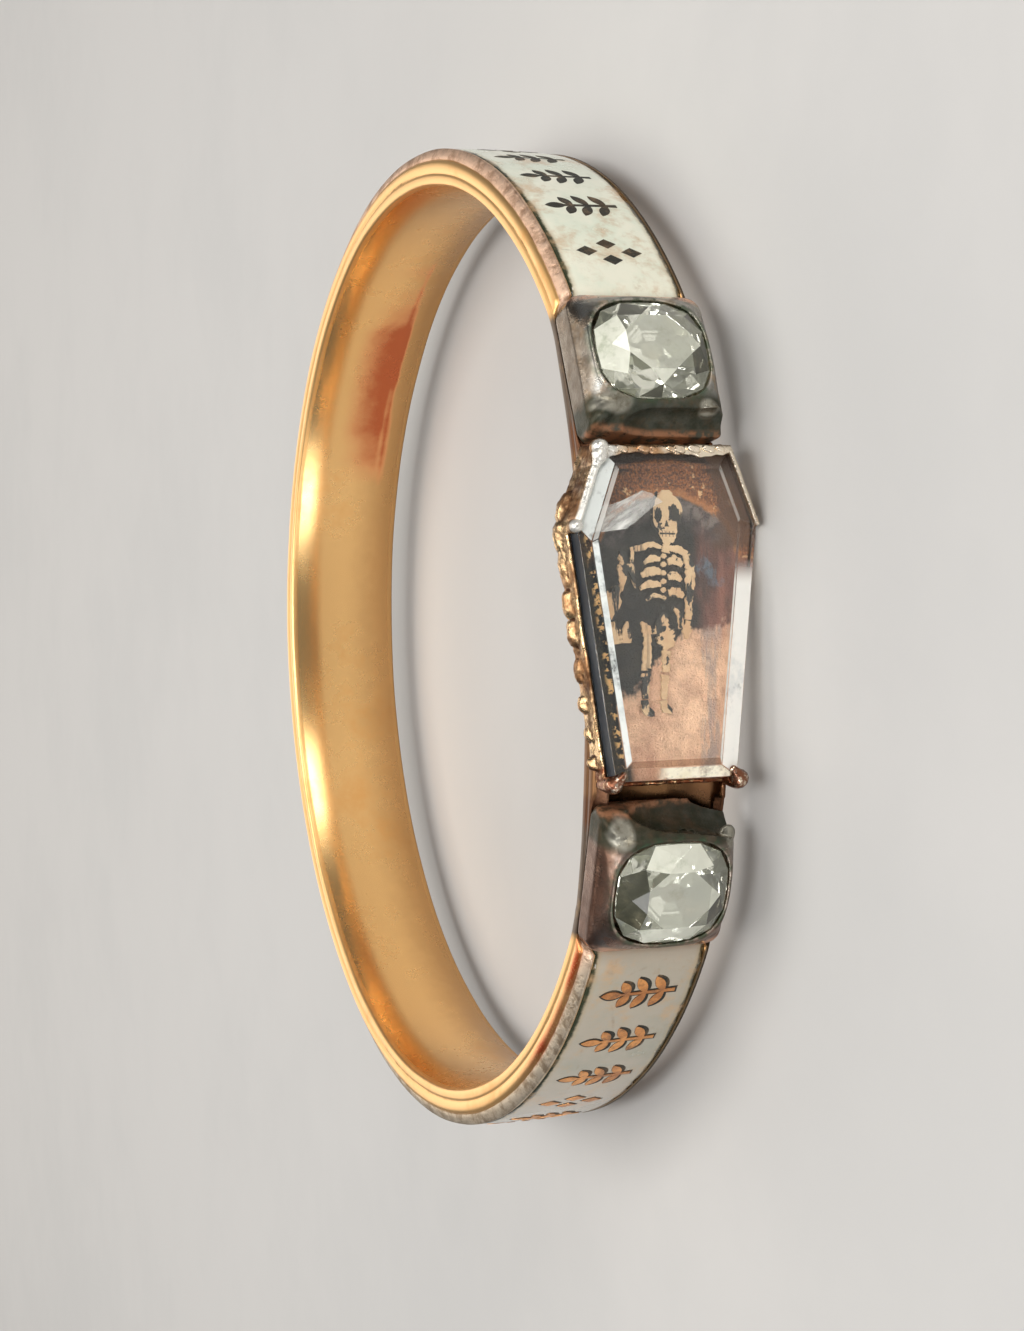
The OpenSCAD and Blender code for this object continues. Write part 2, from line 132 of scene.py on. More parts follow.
def grid_mesh(name, grid, close_rows=True, lengths=None):
    rows, columns = grid.shape[:2]
    i, j = np.meshgrid(np.arange(rows if close_rows else rows - 1), np.arange(columns), indexing="ij")
    below = ((i + 1) % rows) * columns
    corners_of = [i * columns + j, below + j, below + (j + 1) % columns, i * columns + (j + 1) % columns]
    faces = np.stack(corners_of, -1).reshape(-1, 4).tolist()
    if not close_rows:
        faces.append(list(range(columns))[::-1])
        faces.append(list(range((rows - 1) * columns, rows * columns)))
    piece = plain_mesh(name, grid, faces)
    if lengths is not None:
        layer = piece.data.uv_layers.new(name="band")
        u = np.broadcast_to(lengths[0][:, None], (rows, columns)).ravel()
        v = np.broadcast_to(lengths[1][None, :], (rows, columns)).ravel()
        loops = np.zeros(len(piece.data.loops), int)
        piece.data.loops.foreach_get("vertex_index", loops)
        layer.data.foreach_set("uv", np.stack([u[loops], v[loops]], -1).ravel())
    return piece


def mark(piece, name, values):
    layer = piece.data.attributes.new(name, "FLOAT", "POINT")
    layer.data.foreach_set("value", np.asarray(values, np.float32).ravel())


def vectors(points, what="co"):
    values = np.zeros(len(points) * 3)
    points.foreach_get(what, values)
    return values.reshape(-1, 3)


def outwards(piece):
    work = bmesh.new()
    work.from_mesh(piece.data)
    bmesh.ops.remove_doubles(work, verts=work.verts, dist=1e-7)
    bmesh.ops.recalc_face_normals(work, faces=work.faces)
    work.to_mesh(piece.data)
    work.free()
    return piece


def apply_modifiers(piece):
    bpy.context.view_layer.update()
    seen = piece.evaluated_get(bpy.context.evaluated_depsgraph_get())
    mesh = bpy.data.meshes.new_from_object(seen)
    piece.modifiers.clear()
    piece.data = mesh
    return piece


def join(pieces, name):
    whole = bmesh.new()
    for piece in pieces:
        whole.from_mesh(piece.data)
        bpy.data.objects.remove(piece)
    mesh = bpy.data.meshes.new(name)
    whole.to_mesh(mesh)
    whole.free()
    return link(name, mesh)


def count(piece):
    piece.data.calc_loop_triangles()
    print("%s: %d triangles" % (piece.name, len(piece.data.loop_triangles)))
    return piece


# %% [markdown]
# Old metal is never dead straight. `ripple` is a smooth, repeatable wobble made of a few sine waves,
# and `crevices` measures how hollow the surface is at each point, so that dirt settles there.

# %% Wobble and crevices
def ripple(t, seed, waves=(1.0, 2.3, 4.1)):
    random = np.random.default_rng(seed)
    total = np.zeros_like(np.asarray(t, float))
    for k, wave in enumerate(waves):
        total += np.sin(t * wave + random.uniform(0, 6.28)) / (k + 1)
    return total / 1.8


def ease(value, low, high):
    t = np.clip((value - low) / (high - low), 0, 1)
    return t * t * (3 - 2 * t)


def crevices(piece, reach=3, gain=1.0):
    mesh = piece.data
    size = len(mesh.vertices)
    place, normal = vectors(mesh.vertices), vectors(mesh.vertices, "normal")
    ends = np.zeros(len(mesh.edges) * 2, int)
    mesh.edges.foreach_get("vertices", ends)
    ends = ends.reshape(-1, 2)
    along_edge = place[ends[:, 1]] - place[ends[:, 0]]
    lean = along_edge / np.maximum(np.linalg.norm(along_edge, axis=1), 1e-9)[:, None]
    hollow, shared = np.zeros(size), np.full(size, 1e-9)
    for here, sign in ((0, 1), (1, -1)):
        np.add.at(hollow, ends[:, here], (normal[ends[:, here]] * lean).sum(1) * sign)
        np.add.at(shared, ends[:, here], 1)
    hollow /= shared
    for _ in range(reach):
        blurred = np.zeros(size)
        np.add.at(blurred, ends[:, 0], hollow[ends[:, 1]])
        np.add.at(blurred, ends[:, 1], hollow[ends[:, 0]])
        hollow = 0.4 * hollow + 0.6 * blurred / shared
    mark(piece, "hollow", np.clip(hollow * gain, -1, 1))
    return piece


# %% [markdown]
# ## Camera
# The ring was photographed from the front and a little above its upper rim, with the camera turned a
# quarter turn, so that the head of the coffin is at the top of the picture. The directions below are
# the camera's right and up. Written this way they can be read and checked at a glance.

# %% Place the camera
camera_place = Vector((-0.9445, -46.6992, 17.8893)) * MM
camera_right = Vector((-0.0361, -0.37075, -0.92803))
camera_up = Vector((0.99933, -0.01926, -0.03117))
camera_data = bpy.data.cameras.new("camera")
camera_data.lens = 62.96
camera_data.clip_start = 0.002
camera_data.clip_end = 5
camera = link("camera", camera_data)
turn = Matrix((camera_right, camera_up, camera_right.cross(camera_up))).transposed()
camera.matrix_world = Matrix.Translation(camera_place) @ turn.to_4x4()
bpy.context.scene.camera = camera
print("camera is %.1f mm from the ring's middle" % (camera_place.length / MM))

# %% [markdown]
# ## Light and floor
# A jeweller's photograph is lit with large soft boxes, because polished metal shows the shape of
# every lamp. Each box is an area light that points at the ring. The floor is plain and pale, and the
# world gives a little light from all round so that no side of the ring goes black.

# %% Build the floor and the lights
def soft_box(name, place, size, power, tint=(1.0, 1.0, 1.0)):
    data = bpy.data.lights.new(name, "AREA")
    data.shape = "SQUARE"
    data.size = size
    data.energy = power
    data.color = tint
    lamp = link(name, data)
    lamp.location = place
    lamp.rotation_euler = (Vector((0, -0.004, 0)) - Vector(place)).to_track_quat("-Z", "Y").to_euler()


soft_box("box over the ring", (0.05, 0.02, 0.42), 0.34, 1.35, (1.0, 0.97, 0.93))
soft_box("box above the camera", (0.0, -0.11, 0.14), 0.06, 0.13)
soft_box("card behind the ring", (0.0, 0.3, 0.11), 0.2, 0.2, (1.0, 0.93, 0.84))
soft_box("box at the head", (0.13, -0.16, 0.06), 0.07, 0.13, (1.0, 0.96, 0.9))
soft_box("box at the foot", (-0.14, -0.15, 0.05), 0.07, 0.09)

world = bpy.data.worlds.new("studio")
world.use_nodes = True
world.node_tree.nodes["Background"].inputs["Color"].default_value = (0.93, 0.95, 1.0, 1)
world.node_tree.nodes["Background"].inputs["Strength"].default_value = 0.16
bpy.context.scene.world = world
bpy.context.scene.view_settings.view_transform = "Standard"

floor_level, floor_half = cad_box[0][2] / MM, 600
floor_corners = [[x * floor_half, y * floor_half, floor_level]
                 for x, y in ((-1, -1), (1, -1), (1, 1), (-1, 1))]
ground = plain_mesh("floor", floor_corners, [[0, 1, 2, 3]])
print("floor at %.3f mm" % floor_level)

# %% [markdown]
# ## Wires
# A material is a web of small nodes. To keep the recipes below short, a `Wire` carries a number or a
# colour from one node to the next, and adding or multiplying two wires adds the node that does it.
# `step` turns a slow change into a soft edge, `level` puts a mask between two values, `blend` mixes
# two colours by a mask, and `layered` lays one colour after another over the first.

# %% Build nodes by writing sums
class Wire:
    def __init__(self, socket):
        self.socket = socket
        self.tree = socket.id_data

    def __add__(self, other):
        return math_node("ADD", self, other)

    def __sub__(self, other):
        return math_node("SUBTRACT", self, other)

    def __rsub__(self, other):
        return math_node("SUBTRACT", other, self)

    def __mul__(self, other):
        return math_node("MULTIPLY", self, other)

    def __neg__(self):
        return self * -1.0


def feed(socket, value):
    if isinstance(value, Wire):
        value.tree.links.new(value.socket, socket)
    elif socket.type == "RGBA":
        socket.default_value = (*value, 1)
    else:
        socket.default_value = value


def new_node(tree, kind, inputs=(), **settings):
    node = tree.nodes.new(kind)
    for name, value in settings.items():
        setattr(node, name, value)
    for label, value in dict(inputs).items():
        feed(node.inputs[label], value)
    return node


def math_node(operation, a, b=0.5, clamp=False):
    tree = (a if isinstance(a, Wire) else b).tree
    node = new_node(tree, "ShaderNodeMath", {0: a, 1: b}, operation=operation, use_clamp=clamp)
    return Wire(node.outputs[0])


def step(value, low, high):
    inputs = {"Value": value, "From Min": low, "From Max": high}
    node = new_node(value.tree, "ShaderNodeMapRange", inputs, interpolation_type="SMOOTHSTEP")
    return Wire(node.outputs["Result"])


def level(value, low, high):
    node = new_node(value.tree, "ShaderNodeMapRange", {"Value": value, "To Min": low, "To Max": high})
    return Wire(node.outputs["Result"])


def blend(mask, first, second):
    node = new_node(mask.tree, "ShaderNodeMix", data_type="RGBA")
    feed(node.inputs["Factor"], mask)
    feed(node.inputs[6], first)
    feed(node.inputs[7], second)
    return Wire(node.outputs[2])


def layered(color, *coats):
    for mask, tone in coats:
        color = blend(mask, color, tone)
    return color


def object_place(tree):
    return Wire(tree.nodes.new("ShaderNodeTexCoord").outputs["Object"])


def noise(tree, scale, detail, roughness, **vector):
    inputs = {"Scale": scale, "Detail": detail, "Roughness": roughness, **vector}
    return Wire(new_node(tree, "ShaderNodeTexNoise", inputs).outputs["Fac"])


# %% [markdown]
# ## Effects that several finishes share
# Three effects come back on almost every piece: patches of tarnish, fine scratches and dirt that
# collects in hollows. Each is a node group that is built once, with named inputs. A group gives out
# only masks and heights. The shader itself stays in each material.

# %% Build the shared effects
def new_group(name, inputs, outputs):
    tree = bpy.data.node_groups.new(name, "ShaderNodeTree")
    for label, default in inputs.items():
        socket = tree.interface.new_socket(label, in_out="INPUT", socket_type="NodeSocketFloat")
        socket.default_value = default
    for label in outputs:
        tree.interface.new_socket(label, in_out="OUTPUT", socket_type="NodeSocketFloat")
    given = tree.nodes.new("NodeGroupInput").outputs
    return tree, [Wire(given[label]) for label in inputs], tree.nodes.new("NodeGroupOutput").inputs


patches, (scale, cover), put_out = new_group("patches", {"Scale": 900.0, "Cover": 0.5}, ["Mask", "Fine"])
place = object_place(patches)
fine = noise(patches, scale * 7.0, 4.0, 0.65, Vector=place)
mixed = noise(patches, scale, 5.0, 0.62, Vector=place) * 0.75 + fine * 0.25
feed(put_out["Mask"], step(mixed + (cover - 0.5), 0.42, 0.62))
feed(put_out["Fine"], fine)

dirt_inputs = {"Hollow": 0.0, "Amount": 1.0, "Scale": 3000.0}
dirt, (hollow, amount, scale), put_out = new_group("dirt in hollows", dirt_inputs, ["Mask"])
broken = noise(dirt, scale, 3.0, 0.6, Vector=object_place(dirt)) * 1.6
feed(put_out["Mask"], step(hollow * amount * broken, 0.03, 0.22))

scratches, (scale,), put_out = new_group("scratches", {"Scale": 2500.0}, ["Height"])
place = object_place(scratches)
stretched = new_node(scratches, "ShaderNodeMapping", {"Vector": place, "Rotation": (0.5, 0.3, 0.8),
                                                      "Scale": (1.0, 0.06, 1.0)})
lines = noise(scratches, scale, 2.0, 0.5, Vector=Wire(stretched.outputs["Vector"]))
feed(put_out["Height"], lines * 0.35 + noise(scratches, scale * 0.35, 6.0, 0.7, Vector=place))
print("shared effects:", [g.name for g in (patches, dirt, scratches)])


# %% [markdown]
# `Finish` is a material in the making. With its few verbs each finish below reads like a recipe: a
# clean colour, a worn colour, where the wear is, and how rough it leaves the surface.

# %% Write finishes as recipes
class Finish:
    def __init__(self, name, metallic=0.0, roughness=0.4, color=(0.8, 0.8, 0.8)):
        self.material = bpy.data.materials.new(name)
        self.material.use_nodes = True
        self.tree = self.material.node_tree
        self.shader = self.tree.nodes["Principled BSDF"]
        self.set(metallic=metallic, roughness=roughness, base_color=color)

    def set(self, **values):
        for label, value in values.items():
            feed(self.shader.inputs[label.replace("_", " ").title().replace("Ior", "IOR")], value)

    def wear(self, scale, cover):
        node = new_node(self.tree, "ShaderNodeGroup", node_tree=patches)
        feed(node.inputs["Scale"], scale)
        feed(node.inputs["Cover"], cover)
        return Wire(node.outputs["Mask"]), Wire(node.outputs["Fine"])

    def grime(self, hollow, amount, scale):
        node = new_node(self.tree, "ShaderNodeGroup", node_tree=dirt)
        for label, value in (("Hollow", hollow), ("Amount", amount), ("Scale", scale)):
            feed(node.inputs[label], value)
        return Wire(node.outputs["Mask"])

    def scratches(self, scale):
        node = new_node(self.tree, "ShaderNodeGroup", node_tree=scratches)
        feed(node.inputs["Scale"], scale)
        return Wire(node.outputs["Height"])

    def mark(self, name):
        return Wire(new_node(self.tree, "ShaderNodeAttribute", attribute_name=name).outputs["Fac"])

    def axis(self, letter):
        parts = new_node(self.tree, "ShaderNodeSeparateXYZ", {0: object_place(self.tree)})
        return Wire(parts.outputs["XYZ".index(letter)]) * 1000.0

    def streaks(self, along, across, scale, turn_by=0.0):
        turned = new_node(self.tree, "ShaderNodeMapping", {"Vector": object_place(self.tree),
                                                           "Rotation": (0.0, turn_by, 0.0)})
        drawn = new_node(self.tree, "ShaderNodeMapping", {"Vector": Wire(turned.outputs["Vector"]),
                                                          "Scale": (along, 1.0, across)})
        return noise(self.tree, scale, 5.0, 0.68, Vector=Wire(drawn.outputs["Vector"]))

    def bump(self, height, strength, distance):
        inputs = {"Height": height, "Strength": strength, "Distance": distance * MM}
        self.set(normal=Wire(new_node(self.tree, "ShaderNodeBump", inputs).outputs["Normal"]))

    def lay_over(self, amount, skin):
        surface = self.tree.nodes["Material Output"].inputs["Surface"]
        below = Wire(surface.links[0].from_socket)
        both = new_node(self.tree, "ShaderNodeMixShader", {"Fac": amount, 1: below, 2: Wire(skin.outputs[0])})
        feed(surface, Wire(both.outputs[0]))
        return self


def larger(a, b):
    return math_node("MAXIMUM", a, b)


def size_of(a):
    return math_node("ABSOLUTE", a)


def limited(a, b):
    return math_node("MULTIPLY", a, b, clamp=True)


def dress(piece, *finishes):
    slots = np.zeros(len(piece.data.polygons), np.int32)
    piece.data.polygons.foreach_get("material_index", slots)
    piece.data.materials.clear()
    for chosen in finishes:
        piece.data.materials.append(chosen.material)
    piece.data.polygons.foreach_set("material_index", slots if len(finishes) > 1 else slots * 0)
    return piece


def plain_floor():
    pale = Finish("pale floor", roughness=0.7)
    spots, _ = pale.wear(40.0, 0.5)
    pale.set(base_color=blend(spots, (0.54, 0.53, 0.515), (0.515, 0.508, 0.495)))
    return pale


dress(ground, plain_floor())

# %% [markdown]
# ## The hoop
# The hoop is a gold band of one section all the way round: a swelling inside, an upright side with
# a seam line, and a sloping border that holds the enamel. A section carried along a line is a rule,
# so the mesh is computed: the line is four arcs, round at the back and flattened under the bezel.

# %% Trace the hoop's line
def hoop_line(steps_per_mm, start=-front_angle, end=360 - front_angle):
    arcs = [(-front_angle, front_angle, np.array([0, front_cy]), front_r),
            (front_angle, back_angle, shoulder_c, shoulder_r),
            (back_angle, 360 - back_angle, np.zeros(2), bore_r),
            (360 - back_angle, 360 - front_angle, shoulder_c * [-1, 1], shoulder_r)]
    line, normal, along, total = [], [], [], 0.0
    for a, b, centre, radius in arcs:
        a, b = max(a, start), min(b, end)
        if a >= b:
            continue
        length = math.radians(b - a) * radius
        angles = np.radians(np.linspace(a, b, max(2, int(length * steps_per_mm)), endpoint=False))
        facing = np.stack([np.sin(angles), -np.cos(angles)], -1)
        line.append(centre + radius * facing)
        normal.append(facing)
        along.append(total + (angles - angles[0]) * radius)
        total += length
    return np.concatenate(line), np.concatenate(normal), np.concatenate(along)


def arc(cy, cz, r, a, b, steps):
    angles = np.radians(np.linspace(a, b, steps))
    return [[cy + r * math.cos(t), cz + r * math.sin(t)] for t in angles]


def lengths_along(points):
    return np.concatenate([[0], np.cumsum(np.linalg.norm(np.diff(points, axis=0), axis=1))])


inside = [[belly * ((w - land_half) / 0.7) ** 1.7, w] for w in np.linspace(land_half, 1.25, 9)]
side_steps = [(0.24, 0), (0.30, 0), (0.33, -0.006), (0.35, -0.018), (0.375, -0.018), (0.40, -0.005),
              (0.43, 0.003), (0.47, 0.007), (0.54, 0.004), (0.585, -0.008), (0.61, -0.03), (0.62, -0.055),
              (0.635, -0.06), (0.66, -0.05), (0.72, -0.075), (0.79, -0.11), (0.84, -0.138)]
side = arc(belly + 0.07, half_w - 0.07, 0.07, 170, 100, 4) + [[h, half_w + w] for h, w in side_steps]
channel = [[edge_h, edge_z], [edge_h, edge_z - 0.03], [edge_h - 0.015, channel_z], [0.7, channel_z],
           [floor_h, channel_z]]
half_section = np.array(inside + side + channel)
section = np.concatenate([half_section, half_section[::-1] * [1, -1]])
seam_row = sum(np.exp(-((section[:, 0] - h) / 0.02) ** 2) * (np.abs(section[:, 1]) > 1.2)
               for h in (0.362, 0.628))
border_row = (section[:, 0] > 0.63) * (np.abs(section[:, 1]) > channel_z)
print("hoop section has %d points" % len(section))

# %% [markdown]
# The front of the line passes under the settings and under the coffin, so the band is pressed flat
# there: points inside a setting are set down on its seat, and points inside the coffin on its floor.
# A setting has a frame of its own, with `away` from the coffin and `out` from the finger.

# %% Lay out the settings and the coffin
def setting_frame(side_sign):
    lean = math.radians(setting_lean)
    origin = np.array([setting_x * side_sign, seat_y])
    away = np.array([math.cos(lean) * side_sign, math.sin(lean)])
    out = np.array([math.sin(lean) * side_sign, -math.cos(lean)])
    return origin, away, out


coffin_l, head_to_shoulder, coffin_shift = 5.83, 1.35, 0.12
head_x = coffin_l / 2 + coffin_shift
shoulder_x, foot_x = head_x - head_to_shoulder, head_x - coffin_l
corners = np.array([[foot_x, -1.18], [shoulder_x, -1.75], [head_x, -1.25],
                    [head_x, 1.25], [shoulder_x, 1.75], [foot_x, 1.18]])
far_long, far_slope, head, near_slope, near_long, foot = range(6)


def edge_normals(points):
    along = np.roll(points, -1, 0) - points
    along /= np.linalg.norm(along, axis=1)[:, None]
    return np.stack([along[:, 1], -along[:, 0]], -1)


def depth_in_coffin(x, z):
    normals = edge_normals(corners)
    return np.min([-((x - c[0]) * n[0] + (z - c[1]) * n[1]) for c, n in zip(corners, normals)], axis=0)


print("coffin from x %.2f to %.2f mm" % (foot_x, head_x))

# %% Sweep the hoop
line, normal, along = hoop_line(11)
worn = ripple(along[:, None] * 0.8 + section[None, :, 0] * 9, 3) * 0.011
spread = np.where(np.abs(section[:, 1]) > 1.0, 1.0, 0.25)[None, :]
heights = section[None, :, 0] + worn * spread
uneven = ripple(along * 0.45, 5)[:, None] * 0.008 * spread
widths = section[None, :, 1] + np.sign(section[None, :, 1]) * uneven
swept = line[:, None, :] + normal[:, None, :] * heights[..., None]
hoop_grid = np.concatenate([swept, widths[..., None]], -1)
for sign in (1, -1):
    origin, away, out = setting_frame(sign)
    offset = hoop_grid[..., :2] - origin
    a, h = offset @ away, offset @ out
    low = (np.abs(a) < setting_l / 2 + gap) & (h > seat_h - gap) & (np.abs(offset[..., 1]) < 3)
    hoop_grid[..., :2] -= np.where(low, h - (seat_h - gap), 0)[..., None] * out
sunk = -bezel_bottom - 0.06
deep = (depth_in_coffin(hoop_grid[..., 0], hoop_grid[..., 2]) > -0.06) & (hoop_grid[..., 1] < sunk)
hoop_grid[..., 1] = np.where(deep, sunk, hoop_grid[..., 1])
hoop = grid_mesh("hoop", hoop_grid, lengths=(along, lengths_along(section)))

# %% [markdown]
# The marks say where the seam and the border run, where the firestain flames up inside, where the
# side is red near the foot setting, and where painted shade darkens the sides under the settings and
# the coffin. A material alone couldn't know these places.

# %% Mark the hoop
seam_depth = np.clip(0.45 + 0.75 * ripple(along * 0.7, 51, (1, 2.7, 6.3)), 0, 1)
mark(hoop, "seam", seam_depth[:, None] * seam_row[None, :])
mark(hoop, "border", np.broadcast_to(border_row, hoop_grid.shape[:2]))
x, y, z = (hoop_grid[..., k] for k in range(3))
ring_angle = np.degrees(np.arctan2(x, -y))
foot_stretch = ease(ring_angle, -66, -50) * ease(ring_angle, -34, -36) * (z > 1)
red_row = np.exp(-((section[:, 0] - 0.55) / 0.09) ** 4)
mark(hoop, "red", foot_stretch * red_row * (0.75 + 0.5 * ripple(ring_angle * 0.4, 43)))
full_angle = ring_angle % 360
streaks = ripple(z * 14 + full_angle * 0.05, 42) * 0.25
ragged = ripple(full_angle * 0.35, 41) * 0.14 + streaks
flame = 1 - np.hypot((full_angle - 136) / 25, (z + 0.38) / 0.50) + ragged
prong = 1 - np.hypot((full_angle - 121) / 12, z / 0.45) + ragged
is_inside = (section[:, 0] < 0.14) & (np.abs(section[:, 1]) < 1.3)
mark(hoop, "stain", np.clip(np.maximum(flame, prong) * 1.9, 0, 1) * is_inside[None, :])
from_middle = np.abs(x)
# Painted shade: the hoop's sides are marked darker under the settings and, more weakly, under the coffin.
under_setting = ease(from_middle, 2.9, 3.2) * ease(from_middle, 5.75, 5.5) * (y < -5)
under_coffin = ease(from_middle, 3.4, 2.9) * 0.3 * (y < -5)
mark(hoop, "shade_under_settings", np.maximum(under_setting, under_coffin) * ease(np.abs(z), 1.15, 1.25))
hoop = count(crevices(outwards(hoop), gain=1.5))


# %% [markdown]
# The inside of the hoop is polished by wear and shows the lights as broad soft shapes, with one
# red-brown stain. The seam and the border are dull, pitted and pinker, because solder and old enamel
# have roughened them. Painted shade makes the gold darker towards the far edge, the far border almost
# black, and the front dark between the coffin and the settings and on the sides under them. One
# material does it all, steered by the marks that the mesh carries.

# %% Finish the hoop
def worn_gold():
    gold = Finish("worn gold", metallic=1.0)
    spots, fine = gold.wear(420.0, 0.42)
    grit, fine_grit = gold.wear(2600.0, 0.5)
    seam, edge = gold.mark("seam"), gold.mark("border")
    x, y, z = (gold.axis(letter) for letter in "XYZ")
    grime = gold.grime(seam * fine, 0.5, 1500.0)
    side_band = step(size_of(z), 1.17, 1.26)
    # Painted shade: the gold is painted darker towards the hoop's far edge.
    gold_with_painted_far_shade = layered(blend(spots, (0.96, 0.60, 0.25), (0.90, 0.50, 0.18)),
                    (step(z + fine * 0.4, 0.3, -0.9) * 0.75, (0.46, 0.25, 0.10)))
    pink = blend(grit, (0.84, 0.60, 0.44), (0.52, 0.33, 0.22))
    beige = blend(grit, (0.70, 0.60, 0.47), (0.42, 0.32, 0.22))
    burnt = gold.mark("stain") * (fine + 0.75)
    # Painted shade: the gold at the front between the coffin and the settings is painted dark brown.
    painted_shade_between = step(size_of(x) + fine * 0.6, 4.1, 3.8) * step(y, -8.35, -8.5)
    gold.set(base_color=layered(
        blend(edge, gold_with_painted_far_shade, blend(step(x, -5.6, -6.6), pink, beige)),
        (step(burnt, 0.04, 0.6), (0.84, 0.40, 0.17)),
        (step(burnt, 0.35, 1.05), (0.56, 0.15, 0.06)),
        (gold.mark("red") * step(fine_grit, 0.25, 0.5), (0.62, 0.12, 0.035)),
        # Painted shade: the border on the far side is painted almost black.
        (edge * step(z, -0.8, -1.0) * 0.96, (0.045, 0.03, 0.014)),
        # Painted shade under the settings and the coffin.
        (gold.mark("shade_under_settings") * (fine + 0.55), (0.13, 0.095, 0.07)),
        (grime * 0.7, (0.16, 0.09, 0.045)),
        (painted_shade_between * 0.88, (0.14, 0.06, 0.03))))
    gold.set(roughness=level(spots, 0.27, 0.35) + edge * 0.2 + side_band * 0.14 + grime * 0.25)
    worked = gold.scratches(2400.0) * (side_band * 0.65 + 0.08)
    gold.bump(worked - grit * (edge * 1.2), 0.45, 0.025)
    return gold


dress(hoop, worn_gold())
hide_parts("gold_hoop")
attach(hoop, "root")

# %% [markdown]
# ## The enamel
# White enamel was melted into the channel. It is slightly domed, and chipped and brown where it
# meets the gold. It is swept like the hoop, and its two ends are trimmed against the settings.

# %% Sweep the enamel
enamel_half = channel_z - 0.012
across = np.linspace(-1, 1, 25)
crown = np.stack([edge_h - 0.012 + 0.03 * (1 - across ** 4), across * enamel_half], -1)
floor_line = floor_h + gap
enamel_section = np.concatenate([[[floor_line, -enamel_half]], crown, [[floor_line, enamel_half]]])
line, normal, along = hoop_line(9, 33.5, 326.5)
chip = np.clip(ripple(along * 2.1, 8, (1, 2.7, 5.3, 9.1)) - 0.35, 0, 1)
chip_far = np.clip(ripple(along * 1.9, 18, (1, 2.9, 5.7, 9.9)) - 0.4, 0, 1)
tall = np.broadcast_to(enamel_section[None, :, 0], (len(line), len(enamel_section))).copy()
wide = np.broadcast_to(enamel_section[None, :, 1], tall.shape).copy()
near = np.clip((enamel_section[:, 1] / enamel_half - 0.9) / 0.1, 0, 1)[None]
far = np.clip((-enamel_section[:, 1] / enamel_half - 0.9) / 0.1, 0, 1)[None]
tall -= (chip[:, None] * near + chip_far[:, None] * far) * 0.05 * (tall > 0.6)
enamel_grid = np.concatenate([line[:, None] + normal[:, None] * tall[..., None], wide[..., None]], -1)
enamel_end = setting_l / 2 + 0.01
for sign, last_row in ((1, 0), (-1, -1)):
    origin, away, out = setting_frame(sign)
    a = (enamel_grid[..., :2] - origin) @ away
    close = (a < enamel_end) & (a > -3) & (enamel_grid[..., 1] < -5) & (enamel_grid[..., 0] * sign > 0)
    close[last_row] = True
    enamel_grid[..., :2] += np.where(close, enamel_end - a, 0)[..., None] * away
enamel = grid_mesh("enamel", enamel_grid, close_rows=False, lengths=(along, lengths_along(enamel_section)))
mark(enamel, "rim", np.clip((np.abs(wide) / enamel_half - 0.80) / 0.20, 0, 1))
enamel = count(outwards(enamel))


# %% [markdown]
# The enamel is a milky white with a green cast towards the head of the coffin and a greyer, pinker
# cast towards the foot. Fine brown stains creep in from both edges and along old cracks, which a
# Voronoi pattern's cell borders draw well.

# %% Finish the enamel
def stained_enamel():
    glaze = Finish("stained enamel", roughness=0.2)
    cloud, fine = glaze.wear(260.0, 0.5)
    speck, _ = glaze.wear(2300.0, 0.34)
    stain, _ = glaze.wear(900.0, 0.45)
    milk = blend(cloud, (0.86, 0.85, 0.70), (0.68, 0.76, 0.62))
    rosy = blend(cloud, (0.47, 0.41, 0.32), (0.37, 0.37, 0.29))
    creep = glaze.mark("rim") * (fine + 0.25)
    cells = new_node(glaze.tree, "ShaderNodeTexVoronoi", {"Vector": object_place(glaze.tree), "Scale": 620.0},
                     feature="DISTANCE_TO_EDGE")
    crack = (1.0 - step(Wire(cells.outputs["Distance"]), 0.0, 0.022)) * step(fine, 0.5, 0.75)
    glaze.set(coat_weight=0.5, coat_roughness=0.08, roughness=level(cloud, 0.14, 0.3), base_color=layered(
        blend(step(glaze.axis("X"), -5.0, 5.0), rosy, milk),
        (step(creep, 0.10, 0.55) * 0.6, (0.45, 0.33, 0.17)),
        (step(creep, 0.38, 0.58), (0.035, 0.042, 0.02)),
        (stain * step(fine, 0.40, 0.56) * 0.75, (0.60, 0.38, 0.20)),
        (crack * 0.5, (0.30, 0.20, 0.12)),
        (speck * 0.5, (0.40, 0.27, 0.13))))
    glaze.bump(fine - crack, 0.2, 0.01)
    return glaze


dress(enamel, stained_enamel())
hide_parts("enamel_band")
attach(enamel, "root")

# %% [markdown]
# ## Ornament on the enamel
# The band carries lozenge quatrefoils and small leaf sprigs. Towards the head of the coffin they are
# cut into the enamel and filled with black. Towards the foot they stand as gold with a dark edge. Each
# motif is drawn once, flat, as a thin closed plate.

# %% Draw the motifs
def turned_by(outline, degrees):
    c, s = math.cos(math.radians(degrees)), math.sin(math.radians(degrees))
    return outline @ np.array([[c, s], [-s, c]])


def leaf(x, y, degrees, length, width):
    t = np.linspace(0, 1, 9)
    half = width / 2 * np.sin(np.pi * t) ** 0.8
    upper, lower = np.stack([t * length, half], -1), np.stack([t * length, -half], -1)
    return turned_by(np.concatenate([upper, lower[-2:0:-1]]), degrees) + [x, y]


def lozenge(x, y, a, b):
    return np.array([[x - a, y], [x, y - b], [x + a, y], [x, y + b]])


def stem(y0, y1, w):
    return np.array([[-w / 2, y0], [w / 2, y0], [w / 3, y1], [-w / 3, y1]])


